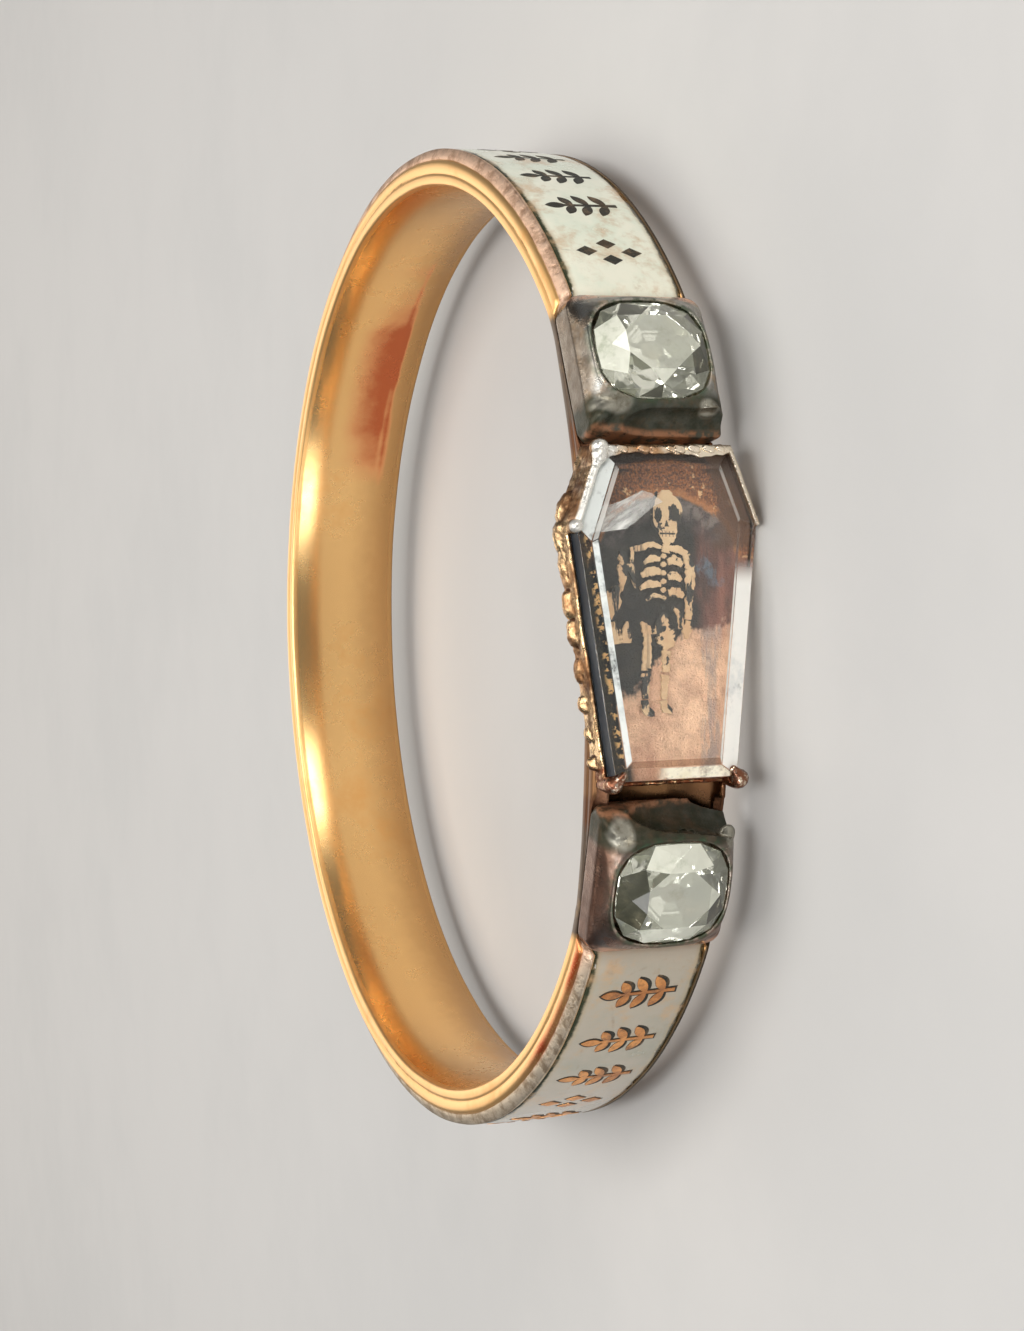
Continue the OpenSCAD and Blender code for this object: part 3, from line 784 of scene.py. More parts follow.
def quatrefoil(grow):
    return [lozenge(x, y, 0.145 + grow, tall + grow) for x, y, tall in
            ((0.24, 0, 0.20), (-0.24, 0, 0.20), (0, 0.45, 0.21), (0, -0.45, 0.21))]


def sprig(grow):
    shapes = [stem(-0.72 - grow, 0.5, 0.085 + 2 * grow),
              leaf(0, 0.34 - grow, 90, 0.42 + 2 * grow, 0.2 + 2 * grow)]
    for y, length in ((-0.5, 0.46), (-0.14, 0.46), (0.2, 0.38)):
        for degrees in (30, 150):
            shapes.append(leaf(0, y - grow, degrees, length + grow, 0.19 + 2 * grow))
    return shapes


def flat_motif(name, shapes, thickness=0.05):
    points, faces = [], []
    for k, shape in enumerate(shapes):
        n, base = len(shape), len(points)
        bottom = -0.0004 * k
        points += [[x, y, bottom] for x, y in shape] + [[x, y, bottom - thickness] for x, y in shape]
        faces += prism_faces(base, n)
    return outwards(plain_mesh(name, points, faces, smooth=False))


print("sprig has %d parts" % len(sprig(0)))

# %% [markdown]
# Geometry Nodes repeats a motif at even steps on a flat strip and then bends the strip round the ring:
# the place along the strip becomes an angle. A small random turn keeps the row from looking printed.
# Count, spacing and radius stay named inputs, so one tree serves every row.

# %% Build the tree that bends a row of motifs
def motif_tree():
    tree = bpy.data.node_groups.new("motifs round the ring", "GeometryNodeTree")
    tree.interface.new_socket("Geometry", in_out="OUTPUT", socket_type="NodeSocketGeometry")
    kinds = {"Geometry": "Geometry", "Motif": "Object", "Finish": "Material", "Count": "Int", "Seed": "Int",
             "First angle": "Float", "Angle step": "Float", "Radius": "Float", "Dome": "Float",
             "Half width": "Float", "Jitter": "Float"}
    for label, kind in kinds.items():
        tree.interface.new_socket(label, in_out="INPUT", socket_type="NodeSocket" + kind)
    sockets = tree.nodes.new("NodeGroupInput").outputs
    given = {label: Wire(sockets[label]) for label in kinds}

    def node(kind, output, inputs=(), **settings):
        return Wire(new_node(tree, kind, inputs, **settings).outputs[output])

    def vector(**parts):
        return node("ShaderNodeCombineXYZ", 0, parts)

    start = vector(X=given["First angle"] * given["Radius"])
    step_along = vector(X=given["Angle step"] * given["Radius"])
    row = node("GeometryNodeMeshLine", "Mesh",
               {"Count": given["Count"], "Start Location": start, "Offset": step_along})
    wobble = node("FunctionNodeRandomValue", 1,
                  {2: -given["Jitter"], 3: given["Jitter"], "Seed": given["Seed"]},
                  data_type="FLOAT")
    motif = node("GeometryNodeObjectInfo", "Geometry", {"Object": given["Motif"]})
    stamp = node("GeometryNodeInstanceOnPoints", "Instances",
                 {"Points": row, "Instance": motif, "Rotation": vector(Z=wobble)})
    real = node("GeometryNodeRealizeInstances", "Geometry", {"Geometry": stamp})

    flat = new_node(tree, "ShaderNodeSeparateXYZ", {0: node("GeometryNodeInputPosition", 0)}).outputs
    share = size_of(math_node("DIVIDE", Wire(flat["Y"]), given["Half width"]))
    height = given["Radius"] + Wire(flat["Z"]) - math_node("POWER", share, 4.0) * given["Dome"]
    angle = math_node("DIVIDE", Wire(flat["X"]), given["Radius"])
    bent = vector(X=height * math_node("SINE", angle), Y=-(height * math_node("COSINE", angle)),
                  Z=Wire(flat["Y"]))
    bend = node("GeometryNodeSetPosition", "Geometry", {"Geometry": real, "Position": bent})
    paint = node("GeometryNodeSetMaterial", "Geometry", {"Geometry": bend, "Material": given["Finish"]})
    feed(tree.nodes.new("NodeGroupOutput").inputs["Geometry"], paint)
    return tree


motif_rows = motif_tree()
socket_of = {item.name: item.identifier for item in motif_rows.interface.items_tree if item.in_out == "INPUT"}
print("inputs of the tree:", list(socket_of))


# %% [markdown]
# The black filling is slightly sunk and broken. The gold is worn and brighter on its edges. A row's
# angles are measured from the middle of the bezel. The rows start just past the settings and carry on
# all the way round the back.

# %% Stamp the rows
def black_filling():
    ink = Finish("black filling", roughness=0.6)
    spots, fine = ink.wear(2600.0, 0.42)
    broad, _ = ink.wear(500.0, 0.45)
    brownish = blend(broad, (0.014, 0.014, 0.008), (0.06, 0.03, 0.008))
    ink.set(base_color=blend(spots, brownish, (0.16, 0.10, 0.05)))
    ink.bump(fine, 0.5, 0.02)
    return ink


def worn_gilding():
    gilt = Finish("worn gilding", metallic=0.75, roughness=0.38)
    spots, fine = gilt.wear(2800.0, 0.45)
    broad, _ = gilt.wear(900.0, 0.5)
    old_gold = blend(broad, (0.90, 0.42, 0.14), (0.48, 0.19, 0.07))
    gilt.set(base_color=blend(spots, old_gold, (0.34, 0.16, 0.08)))
    gilt.bump(fine, 0.5, 0.02)
    return gilt


def stamp_row(name, shapes, filling, count_of, first, step_angle, lift, seed):
    motif = flat_motif(name + " motif", shapes)
    host = link(name, bpy.data.meshes.new(name))
    modifier = host.modifiers.new("motifs", "NODES")
    modifier.node_group = motif_rows
    chosen = {"Motif": motif, "Finish": filling.material, "Count": count_of, "Seed": seed,
              "First angle": math.radians(first), "Angle step": math.radians(step_angle),
              "Radius": (bore_r + edge_h + 0.018 + lift) * MM, "Dome": 0.03 * MM,
              "Half width": enamel_half * MM, "Jitter": 0.05}
    for label, value in chosen.items():
        modifier[socket_of[label]] = value
    apply_modifiers(host)
    bpy.data.objects.remove(motif)
    return host


black, gilding = black_filling(), worn_gilding()
pitch = 8.0
sunk_lift, gilt_lift, dark_edge = 0.006, 0.016, 0.045
head_rows = [stamp_row("head quatrefoils", quatrefoil(0), black, 5, 42.5, 4 * pitch, sunk_lift, 1)]
for k, count_of in ((1, 5), (2, 4), (3, 4)):
    first = 43.5 + k * pitch
    head_rows.append(stamp_row("head sprigs", sprig(0.01), black, count_of, first, 4 * pitch, sunk_lift,
                               2 + k))
foot_edges, foot_rows = [], []
for k, shape, count_of in ((0, sprig, 5), (1, sprig, 4), (2, sprig, 4), (3, quatrefoil, 4)):
    place_of_row = (count_of, -41.5 - k * pitch, -4 * pitch)
    foot_edges.append(stamp_row("foot edges", shape(dark_edge), black, *place_of_row, sunk_lift, 12 + k))
    foot_rows.append(stamp_row("foot gilding", shape(0.0), gilding, *place_of_row, gilt_lift, 12 + k))
for rows, name, slot, filling in ((head_rows + foot_edges, "black_motifs", "enamel", black),
                                  (foot_rows, "gilt_motifs", "gold", gilding)):
    ornament = dress(join(rows, name), filling)
    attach(ornament, "root")
    count(ornament)

# %% [markdown]
# ## The coffin bezel
# The bezel is a box of thin gold, folded up round the crystal. Its long walls are low. At the head
# and down one sloping side the edge is rubbed over the stone, and the foot of the wall spreads out in
# lobes like a pie crust. All of it is one section whose sizes change on the way round the coffin, so
# it is swept as a grid too. A mitre at each corner keeps the wall's thickness.

# %% Walk round the coffin
def mitre_at(k):
    before, here = edge_normals(corners)[k - 1], edge_normals(corners)[k]
    return (before + here) / (1 + before @ here)


def coffin_walk(pace):
    places, directions, edges, shares = [], [], [], []
    for k in range(6):
        a, b = corners[k], corners[(k + 1) % 6]
        n = max(4, int(np.linalg.norm(b - a) / pace))
        for i in range(n):
            places.append(a + (b - a) * i / n)
            directions.append(edge_normals(corners)[k] if i else mitre_at(k))
            edges.append(k)
            shares.append(i / n)
    return np.array(places), np.array(directions), np.array(edges), np.array(shares)


spot, facing, edge, share = coffin_walk(0.025)
walked = lengths_along(spot)
start_of = {k: walked[np.argmax(edge == k)] for k in range(6)}
long_side = np.linalg.norm(corners[1] - corners[0])
slope_side = np.linalg.norm(corners[2] - corners[1])


def lobes(t):
    out = np.zeros_like(t)
    uneven = np.random.default_rng(4)
    for row_edge, backwards in ((far_long, True), (near_long, False)):
        for i in range(8):
            s = i / 7
            size = (1 - 0.45 * s) * uneven.uniform(0.62, 1.25)
            part = 0.03 + 0.91 * s + uneven.uniform(-0.025, 0.025)
            centre = start_of[row_edge] + long_side * (1 - part if backwards else part)
            inner = 1 - ((t - centre) / (0.30 * size)) ** 2
            out = np.maximum(out, lobe_out * uneven.uniform(0.35, 1.0) * np.sqrt(np.clip(inner, 0, 1)))
    for centre in (start_of[far_slope] + slope_side * 0.26, start_of[near_slope] + slope_side * 0.74):
        inner = 1 - ((t - centre) / 0.28) ** 2
        out = np.maximum(out, lobe_out * np.sqrt(np.clip(inner, 0, 1)))
    return out


print("walk round the coffin: %.1f mm in %d steps" % (walked[-1], len(walked)))

# %% [markdown]
# `rub` is how far the edge reaches over the stone, and `top` how high the wall stands. Both are given
# for each of the six sides and then roughened a little, because this rim was pushed over by hand.
# A column is one corner of the section: how far out it lies, and how high.

# %% Sweep the bezel
rough = ripple(walked * 3.0, 11, (1, 2.2, 4.7, 9.3))
rub = np.choose(edge, [0.0, 0.04, 0.10, 0.05, 0.0, 0.0])
rub = rub + np.where(edge == head, 0.06 * rough, 0) + np.where(edge == near_slope, 0.02 * rough, 0)
high = np.isin(edge, (far_slope, head, near_slope)).astype(float)
high = np.where((edge == near_long) & (share < 0.02), 1.0, high)
unevenness = np.where(edge == head, 0.035, np.where(high > 0, 0.01, 0.02))
top = low_wall_z + (girdle_z - low_wall_z) * high + unevenness * rough
top = np.where(edge == foot, low_wall_z + 0.10 + 0.10 * ripple(walked * 7, 12, (1, 2.3, 3.9)), top)
flare = lobes(walked) + 0.012 + 0.008 * rough
wall = gap + bezel_t + 0.006 * ripple(walked * 4, 13)
rub = np.maximum(rub, 0)


def over_stone(share_of_rub, extra):
    return girdle_z + np.clip(rub * share_of_rub, 0, 0.3) * (step1_h / step1_w) + extra


def rim_or(rubbed, plain):
    return np.where(rub > 0.01, rubbed, plain)


flat = np.zeros_like(walked)
columns = [(flat - 0.5, flat + bezel_bottom), (wall, flat + bezel_bottom)]
flare_shape = ((0.8, 0.004), (1.0, 0.035), (1.0, 0.10), (0.85, 0.155), (0.55, 0.20), (0.22, 0.245),
               (0.05, 0.30))
columns += [(wall + flare * reach, flat + bezel_bottom + up) for reach, up in flare_shape]
columns += [(wall, top - 0.06), (wall - 0.006, top - 0.02), (wall - 0.03, rim_or(top + 0.035, top)),
            (rim_or(-rub * 0.15 + 0.02, wall - 0.04), rim_or(over_stone(0.15, 0.085), top)),
            (rim_or(-rub * 0.55, wall - 0.05), rim_or(over_stone(0.55, 0.085), top - 0.004)),
            (rim_or(-rub * 0.88, wall - 0.058), rim_or(over_stone(0.88, 0.065), top - 0.01)),
            (rim_or(-rub, gap + 0.008), rim_or(over_stone(1.0, 0.038), top - 0.02)),
            (rim_or(-rub * 0.9, gap + 0.004), rim_or(over_stone(0.9, 0.014), top - 0.03)),
            (flat + gap, rim_or(girdle_z + 0.012, top - 0.04)),
            (flat + gap, flat + bezel_floor), (flat - 0.5, flat + bezel_floor)]
bezel_grid = np.zeros((len(walked), len(columns), 3))
for j, (reach, up) in enumerate(columns):
    if 0 < j < 12:
        unevenness = 0.016 if 1 < j < 10 else 0.005
        reach = reach + ripple(walked * 13 + j * 2.1, 60 + j, (1, 1.9, 3.3)) * unevenness
    ground_plan = spot + facing * reach[:, None]
    bezel_grid[:, j] = np.stack([ground_plan[:, 0], -up, ground_plan[:, 1]], -1)
for sign in (1, -1):
    origin, away, out = setting_frame(sign)
    offset = bezel_grid[..., :2] - origin
    a, h = offset @ away, offset @ out
    inside_setting = (a > -setting_l / 2 - gap) & (h > 0)
    bezel_grid[..., :2] -= np.where(inside_setting, a + setting_l / 2 + gap, 0)[..., None] * away
bezel = outwards(grid_mesh("coffin_bezel", bezel_grid))
print("bezel section has %d points" % len(columns))


# %% [markdown]
# Two claws hold the crystal's foot corners. Beads sit where the rubbed rim was cut, small grains lie
# along its head, and a flap is folded over the lower shoulder. A tube whose thickness changes along
# its path makes them all. Each is closed with a round end and joined to the bezel, because they are
# one piece of gold.

# %% Add claws, beads, grains and the floor
def tube(path, radii, sides=12):
    path, radii = np.asarray(path, float), np.asarray(radii, float)
    fine = np.linspace(0, len(path) - 1, (len(path) - 1) * 8 + 1)
    path = np.stack([np.interp(fine, np.arange(len(path)), path[:, k]) for k in range(3)], -1)
    radii = np.interp(fine, np.arange(len(radii)), radii)
    for _ in range(4):
        path[1:-1] = (path[:-2] + path[1:-1] * 2 + path[2:]) / 4
    first, last = path[0] - path[1], path[-1] - path[-2]
    first, last = first / np.linalg.norm(first), last / np.linalg.norm(last)
    cap = np.radians(np.array([10, 35, 60, 80]))
    path = np.concatenate([path[0] + np.outer(np.cos(cap) * radii[0], first), path,
                           path[-1] + np.outer(np.cos(cap[::-1]) * radii[-1], last)])
    radii = np.concatenate([np.sin(cap) * radii[0], radii, np.sin(cap[::-1]) * radii[-1]])
    ahead = np.gradient(path, axis=0)
    ahead /= np.linalg.norm(ahead, axis=1)[:, None]
    sideways = np.cross(ahead, np.array([0.13, 0.21, 0.97]))
    sideways /= np.linalg.norm(sideways, axis=1)[:, None]
    third = np.cross(ahead, sideways)
    turns = np.radians(np.linspace(0, 360, sides, endpoint=False))[None, :, None]
    spokes = np.cos(turns) * sideways[:, None] + np.sin(turns) * third[:, None]
    return path[:, None] + radii[:, None, None] * spokes


def on_front(x, z, level_out):
    return [x, -level_out, z]


def corner_at(k, distance):
    return corners[k] + mitre_at(k) * distance


parts = [bezel]


def add_tube(name, path, radii, sides=12):
    parts.append(outwards(grid_mesh(name, tube(path, radii, sides), close_rows=False)))


for k, reach, wide in ((0, 0.15, 1.25), (5, 0.13, 1.1)):
    place, tip = corner_at(k, gap + 0.03), corner_at(k, gap - reach)
    path = [on_front(*place, bezel_floor + 0.1), on_front(*place, low_wall_z + 0.1),
            on_front(*place, girdle_z), on_front(*tip, girdle_z + 0.10)]
    add_tube("claw", path, [0.10 * wide, 0.14 * wide, 0.15 * wide, 0.07])
for k, size in ((3, 0.16), (4, 0.13)):
    place = corner_at(k, gap + 0.01)
    add_tube("bead", [on_front(*place, girdle_z + up) for up in (-0.05, 0.05)], [size, size * 0.92], 16)
chance = np.random.default_rng(9)
for k in range(9):
    s = 0.06 + 0.11 * k + chance.uniform(-0.03, 0.03)
    x, z = corner_at(2, -0.02) * (1 - s) + corner_at(3, -0.02) * s
    size = chance.uniform(0.045, 0.085)
    path = [on_front(x, z - size * 0.8, girdle_z + 0.07), on_front(x + 0.03, z + size * 0.8, girdle_z + 0.08)]
    add_tube("grain", path, [size, size * 0.8])
slope_start, slope_end = corner_at(3, gap - 0.01), corner_at(4, gap - 0.01)
path = [on_front(*(slope_start + (slope_end - slope_start) * s), girdle_z + up)
        for s, up in ((0.0, 0.05), (0.1, 0.09), (0.2, 0.06))]
add_tube("flap", path, [0.13, 0.15, 0.08], 16)
plate = [on_front(*corner_at(k, -0.3), z) for z in (bezel_bottom + 0.01, bezel_floor) for k in range(6)]
plate_faces = [[0, 1, 2, 3, 4, 5], [11, 10, 9, 8, 7, 6]]
plate_faces += [[k, (k + 1) % 6, 6 + (k + 1) % 6, 6 + k] for k in range(6)]
parts.append(outwards(plain_mesh("plate", plate, plate_faces, smooth=False)))
bezel = join(parts, "coffin_bezel")
bezel.data.polygons.foreach_set("use_smooth", [True] * len(bezel.data.polygons))
bezel = count(crevices(bezel, reach=2, gain=2.0))


# %% [markdown]
# The bezel's gold is duller and redder than the hoop's, with worn spots that shine and nearly black
# dirt between the lobes. The rim over the stone is pale gold, partly rubbed and partly a painted
# highlight. On the near side it is painted white and grey as a painted reflection of the light, and
# the claws at the foot are burnt.

# %% Finish the bezel
def grainy_gold():
    gold = Finish("grainy gold", metallic=1.0)
    spots, fine = gold.wear(1500.0, 0.5)
    broad, _ = gold.wear(900.0, 0.55)
    soot, _ = gold.wear(2100.0, 0.5)
    rim = step(-gold.axis("Y"), girdle_z - 0.03, girdle_z + 0.05)
    painted_white_reflection = rim * step(gold.axis("Z") + gold.axis("X") * 0.32, 1.85, 2.05)
    dark = larger(gold.grime(gold.mark("hollow"), 1.7, 2600.0), soot * (1.0 - rim) * 0.9)
    burnt = step(gold.axis("X"), -2.45, -2.6) * step(fine, 0.33, 0.52)
    gold.set(base_color=layered(
        blend(spots, (0.76, 0.53, 0.29), (0.42, 0.22, 0.10)),
        # Painted highlight and painted reflection: the rim is painted pale gold, and white and grey on the
        # near side.
        (rim * 0.85, blend(broad, (0.55, 0.32, 0.17), (0.98, 0.88, 0.72))),
        (painted_white_reflection * 0.9, blend(fine, (0.95, 0.93, 0.86), (0.60, 0.62, 0.60))),
        (dark, (0.085, 0.036, 0.018)),
        (burnt * 0.95, (0.20, 0.06, 0.025))))
    gold.set(roughness=level(spots, 0.16, 0.4) + dark * 0.25, metallic=level(painted_white_reflection, 1.0, 0.7))
    gold.bump(gold.scratches(4200.0), 0.8, 0.06)
    return gold


dress(bezel, grainy_gold())
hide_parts("gold_hoop")
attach(bezel, "root")

# %% [markdown]
# ## The silver settings
# Each setting is a block of silver whose top slopes up to the stone. A trough is filed across the
# coffin side, between two curled horns. Such a soft, worn form has no straight rule. It is put
# together from simple bodies, melted into one skin by a voxel remesh, and then cut.

# %% Tools to melt and cut
def hull_mesh(name, points):
    work = bmesh.new()
    for point in points:
        work.verts.new(point)
    bmesh.ops.convex_hull(work, input=work.verts)
    loose = [v for v in work.verts if not v.link_faces]
    bmesh.ops.delete(work, geom=loose, context="VERTS")
    mesh = bpy.data.meshes.new(name)
    work.to_mesh(mesh)
    work.free()
    return link(name, mesh)


def oblong(l, w, r, z):
    points = []
    for q in range(4):
        cx, cy = (l / 2 - r) * (1 if q in (0, 3) else -1), (w / 2 - r) * (1 if q < 2 else -1)
        for t in np.radians(np.linspace(q * 90, q * 90 + 90, 6)):
            points.append([cx + r * math.cos(t), cy + r * math.sin(t), z])
    return points


def cushion(l, w, bulge, count_of, z, shift=0.0, turn_by=0.0):
    points = []
    for t in np.radians(np.arange(count_of) * 360 / count_of + turn_by):
        c, s = math.cos(t), math.sin(t)
        k = (abs(c) ** bulge + abs(s) ** bulge) ** (-1 / bulge)
        points.append([l / 2 * k * c + shift, w / 2 * k * s, z])
    return points


def melt(piece, voxel, smoothing, rounds):
    skin = piece.modifiers.new("melt", "REMESH")
    skin.mode = "VOXEL"
    skin.voxel_size = voxel
    soften = piece.modifiers.new("soften", "SMOOTH")
    soften.factor = smoothing
    soften.iterations = rounds
    return apply_modifiers(piece)


def cut_away(piece, tool):
    outwards(tool)
    cut = piece.modifiers.new("cut", "BOOLEAN")
    cut.operation = "DIFFERENCE"
    cut.object = tool
    cut.solver = "EXACT"
    apply_modifiers(piece)
    bpy.data.objects.remove(tool)


# %% [markdown]
# The bodies are built at millimetre size in the setting's own frame, X away from the coffin and Z
# outwards, because a voxel can't be smaller than a tenth of a unit's thousandth. Only the finished
# mesh is scaled down and stood on the hoop. The foot setting has lost a bite of its far corner: the
# points there are pushed back from the corner. Soft bulbs of solder swell on the coffin side.

# %% Build one setting
def raw_block(name, wall_h, shift):
    bodies = [hull_mesh("block", oblong(setting_l, setting_w, 0.26, seat_h)
                        + oblong(setting_l, setting_w, 0.3, wall_h - 0.03)
                        + oblong(setting_l - 0.06, setting_w - 0.06, 0.3, wall_h)),
              hull_mesh("slope", oblong(setting_l - 0.03, setting_w - 0.03, 0.3, wall_h - 0.06)
                        + cushion(stone_l + 0.22, stone_w + 0.2, 3, 40, girdle_h - 0.02, shift)
                        + cushion(stone_l + 0.14, stone_w + 0.14, 3, 40, girdle_h + 0.02, shift))]
    for hand in (1, -1):
        curl = ((0.13, 0.12, seat_h + 0.12), (0.10, 0.10, wall_h - 0.3), (0.13, 0.12, wall_h - 0.05),
                (0.28, 0.20, wall_h + 0.10), (0.42, 0.40, wall_h + 0.10), (0.44, 0.56, wall_h + 0.03),
                (0.36, 0.62, wall_h - 0.06))
        path = [[end + a, hand * (side_edge - b), up] for a, b, up in curl]
        path[2][0] += 0.04 * hand
        rings = tube(path, [0.09, 0.10, 0.12, 0.15, 0.16, 0.14, 0.09], 14)
        bodies.append(outwards(grid_mesh("horn", rings / MM, close_rows=False)))
    return melt(join(bodies, name), 0.035, 0.6, 5)


def trough_points(trough_h, bite_r):
    points = []
    trough_r = 0.38
    for share_of in (0.0, 0.74, 0.84, 0.92, 1.0):
        r = (trough_r + bite_r * (1 - share_of)) * (1 - share_of ** 8 * 0.8)
        y = -side_edge - 0.2 + share_of * (setting_w - 0.3)
        for t in np.radians(np.linspace(0, 360, 32, endpoint=False) + 37 * share_of):
            points.append([end + r * math.cos(t), y, trough_h + trough_r + r * math.sin(t)])
    return points


def bite_and_bulbs(piece, wall_h, bulbs, bite_r):
    cast = bmesh.new()
    cast.from_mesh(piece.data)
    for vertex in cast.verts:
        off = vertex.co.xy - Vector((end - 0.1, -side_edge - 0.12))
        if off.length < bite_r * 2 and vertex.co.z > seat_h:
            push = (bite_r * 2 - off.length) * ease(vertex.co.z, seat_h, seat_h + 0.15)
            vertex.co.xy += off.normalized() * float(push)
    for place, radii in bulbs:
        swell = Matrix.Translation((*place, wall_h)) @ Matrix.Diagonal((*radii, 1))
        bmesh.ops.create_icosphere(cast, subdivisions=3, radius=1.0, matrix=swell)
    cast.to_mesh(piece.data)
    cast.free()
    return melt(piece, 0.024, 0.5, 6)


end, side_edge = -setting_l / 2, setting_w / 2


def silver_setting(name, sign, wall_h, trough_h, shift, seed, bulbs, bite_r):
    piece = raw_block(name, wall_h, shift)
    seat_floor, seat_top = girdle_h - pavilion_h - gap, girdle_h + 0.5
    seat = [cushion(stone_l + 0.03, stone_w + 0.03, 3, 40, z, shift) for z in (seat_floor, seat_top)]
    cut_away(piece, hull_mesh("seat", seat[0] + seat[1]))
    cut_away(piece, hull_mesh("trough", trough_points(trough_h, bite_r)))
    print("%s after the cuts: %d points" % (name, len(piece.data.vertices)))
    bulbs = [((end + a, hand * (side_edge - b)), radii) for hand, a, b, radii in bulbs]
    bite_and_bulbs(piece, wall_h, bulbs, bite_r)

    co = vectors(piece.data.vertices)
    x, y = co[:, 0], co[:, 1]
    hammered = ripple(x * 3.1 + y * 2.3, seed) * 0.012 + ripple(y * 6.1 - co[:, 2] * 5.3, seed + 1) * 0.006
    free = (np.abs(x - shift) > stone_l / 2 + 0.04) | (np.abs(y) > stone_w / 2 + 0.04)
    co[:, 2] += np.where(free & (co[:, 2] > 0.6), hammered, 0)
    z = co[:, 2]
    origin, away, out = setting_frame(sign)
    world = np.stack([origin[0] + away[0] * x + out[0] * z, origin[1] + away[1] * x + out[1] * z, y], -1) * MM
    piece.data.vertices.foreach_set("co", world.ravel())
    piece.data.update()
    around = (np.abs((x - shift) / (stone_l / 2)) ** 3 + np.abs(y / (stone_w / 2)) ** 3) ** (1 / 3)
    off_bulb = np.min([np.hypot((x - a) / radii[0], (y - b) / radii[1]) for (a, b), radii in bulbs], axis=0)
    for label, values in (("collar", np.clip(1.14 - around, 0, 0.1) * 10 * (z > 1.0)),
                          # Olive patina and painted shade: the side facing the coffin, with the trough, is
                          # marked dark.
                          ("low", ease(x, -0.62, -0.84)),
                          ("strip", ease(x, end + 0.16, end + 0.06)),
                          ("away", ease(x, 1.16, 1.26) * ease(z, wall_h - 0.3, wall_h - 0.1)),
                          # Painted shade: the setting's near wall is marked to be painted darker.
                          ("painted shade near wall", ease(y, side_edge - 0.22, side_edge - 0.06)),
                          ("bulb", ease(off_bulb, 1.15, 0.6) * (z > wall_h - 0.1))):
        mark(piece, label, values)
    outwards(piece)
    piece.data.polygons.foreach_set("use_smooth", [True] * len(piece.data.polygons))
    return count(crevices(piece, reach=4, gain=3.0))


head_bulbs = ((1, 0.46, 0.42, (0.20, 0.38, 0.23)), (-1, 0.42, 0.36, (0.13, 0.22, 0.05)))
foot_bulbs = ((1, 0.34, 0.32, (0.28, 0.24, 0.20)), (-1, 0.55, 0.16, (0.18, 0.17, 0.08)))
head_silver = silver_setting("head_silver", 1, 1.05, 0.82, 0.11, 21, head_bulbs, 0.0)
foot_silver = silver_setting("foot_silver", -1, 0.92, 0.56, 0.08, 31, foot_bulbs, 0.25)


# %% [markdown]
# The silver is nearly brown with tarnish. Worn ridges shine through in a warm grey, the coffin side
# with the trough is a dull dark olive, partly patina and partly painted shade, the near wall is
# painted darker as painted shade, a pinker edge lies away from the coffin, and a green bloom of
# copper salts sits where the stone meets the metal.

# %% Finish the silver
def tarnished_silver(name, light, shade, warm):
    silver = Finish(name, metallic=1.0)
    spots, fine = silver.wear(620.0, 0.5)
    grit, fine_grit = silver.wear(3200.0, 0.45)
    broad, fine_broad = silver.wear(300.0, 0.5)
    hollow = silver.mark("hollow")
    grime = silver.grime(hollow, 1.1, 1800.0)
    low = limited(silver.mark("low"), level(fine, 0.75, 1.15))
    bulb = limited(silver.mark("bulb"), level(fine_grit, 0.6, 1.1))
    silver.set(specular_ior_level=0.12, base_color=layered(
        blend(spots, light, shade),
        (broad * 0.4, (0.48, 0.54, 0.55)),
        (step(fine_broad, 0.5, 0.62) * 0.6, warm),
        (grit * 0.3, (0.12, 0.085, 0.06)),
        (step(-hollow, 0.12, 0.55) * 0.8, (0.78, 0.68, 0.58)),
        (grime, (0.06, 0.05, 0.035)),
        # Painted shade on the near wall.
        (limited(silver.mark("painted shade near wall"), level(fine, 0.5, 1.2)) * 0.95, tuple(0.26 * c for c in warm)),
        # Olive patina and painted shade on the coffin side.
        (low * 0.95, blend(grit, (0.017, 0.022, 0.011), (0.050, 0.036, 0.017))),
        (silver.mark("strip") * step(fine, 0.35, 0.6) * 0.85, (0.34, 0.16, 0.085)),
        (silver.mark("away") * step(fine, 0.3, 0.55) * 0.8, (0.80, 0.48, 0.34)),
        (silver.mark("collar") * step(fine, 0.42, 0.6) * 0.8, (0.05, 0.085, 0.05)),
        (bulb * 0.9, blend(grit, (0.44, 0.42, 0.35), (0.20, 0.18, 0.13)))))
    silver.set(metallic=larger(1.0 - low * 0.85, bulb), roughness=level(spots, 0.24, 0.4) + grime * 0.2)
    silver.bump(silver.scratches(3000.0) + fine_grit * 0.5, 0.4, 0.03)
    return silver


head_tones = ((0.42, 0.38, 0.32), (0.20, 0.165, 0.125), (0.46, 0.32, 0.20))
foot_tones = ((0.30, 0.20, 0.145), (0.13, 0.075, 0.05), (0.40, 0.20, 0.13))
for piece, node, tones in ((head_silver, "head_setting", head_tones),
                           (foot_silver, "foot_setting", foot_tones)):
    dress(piece, tarnished_silver("tarnished silver " + node[:4], *tones))
    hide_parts(node)
    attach(piece, "root")

# %% [markdown]
# ## The stones
# The diamonds are old cuts: a wide table, eight stars, eight kites, sixteen small facets down to the
# edge and a blunt point below. Some facets are frosted by wear. Others are painted nearly black as
# painted shade, where they throw the light away from us. Glass lives from what it bends, so the stones
# are true glass. A stone would stop the light that looks for a lamp, and the picture below it would be
# black. The Light Path node therefore lets shadow rays straight through.

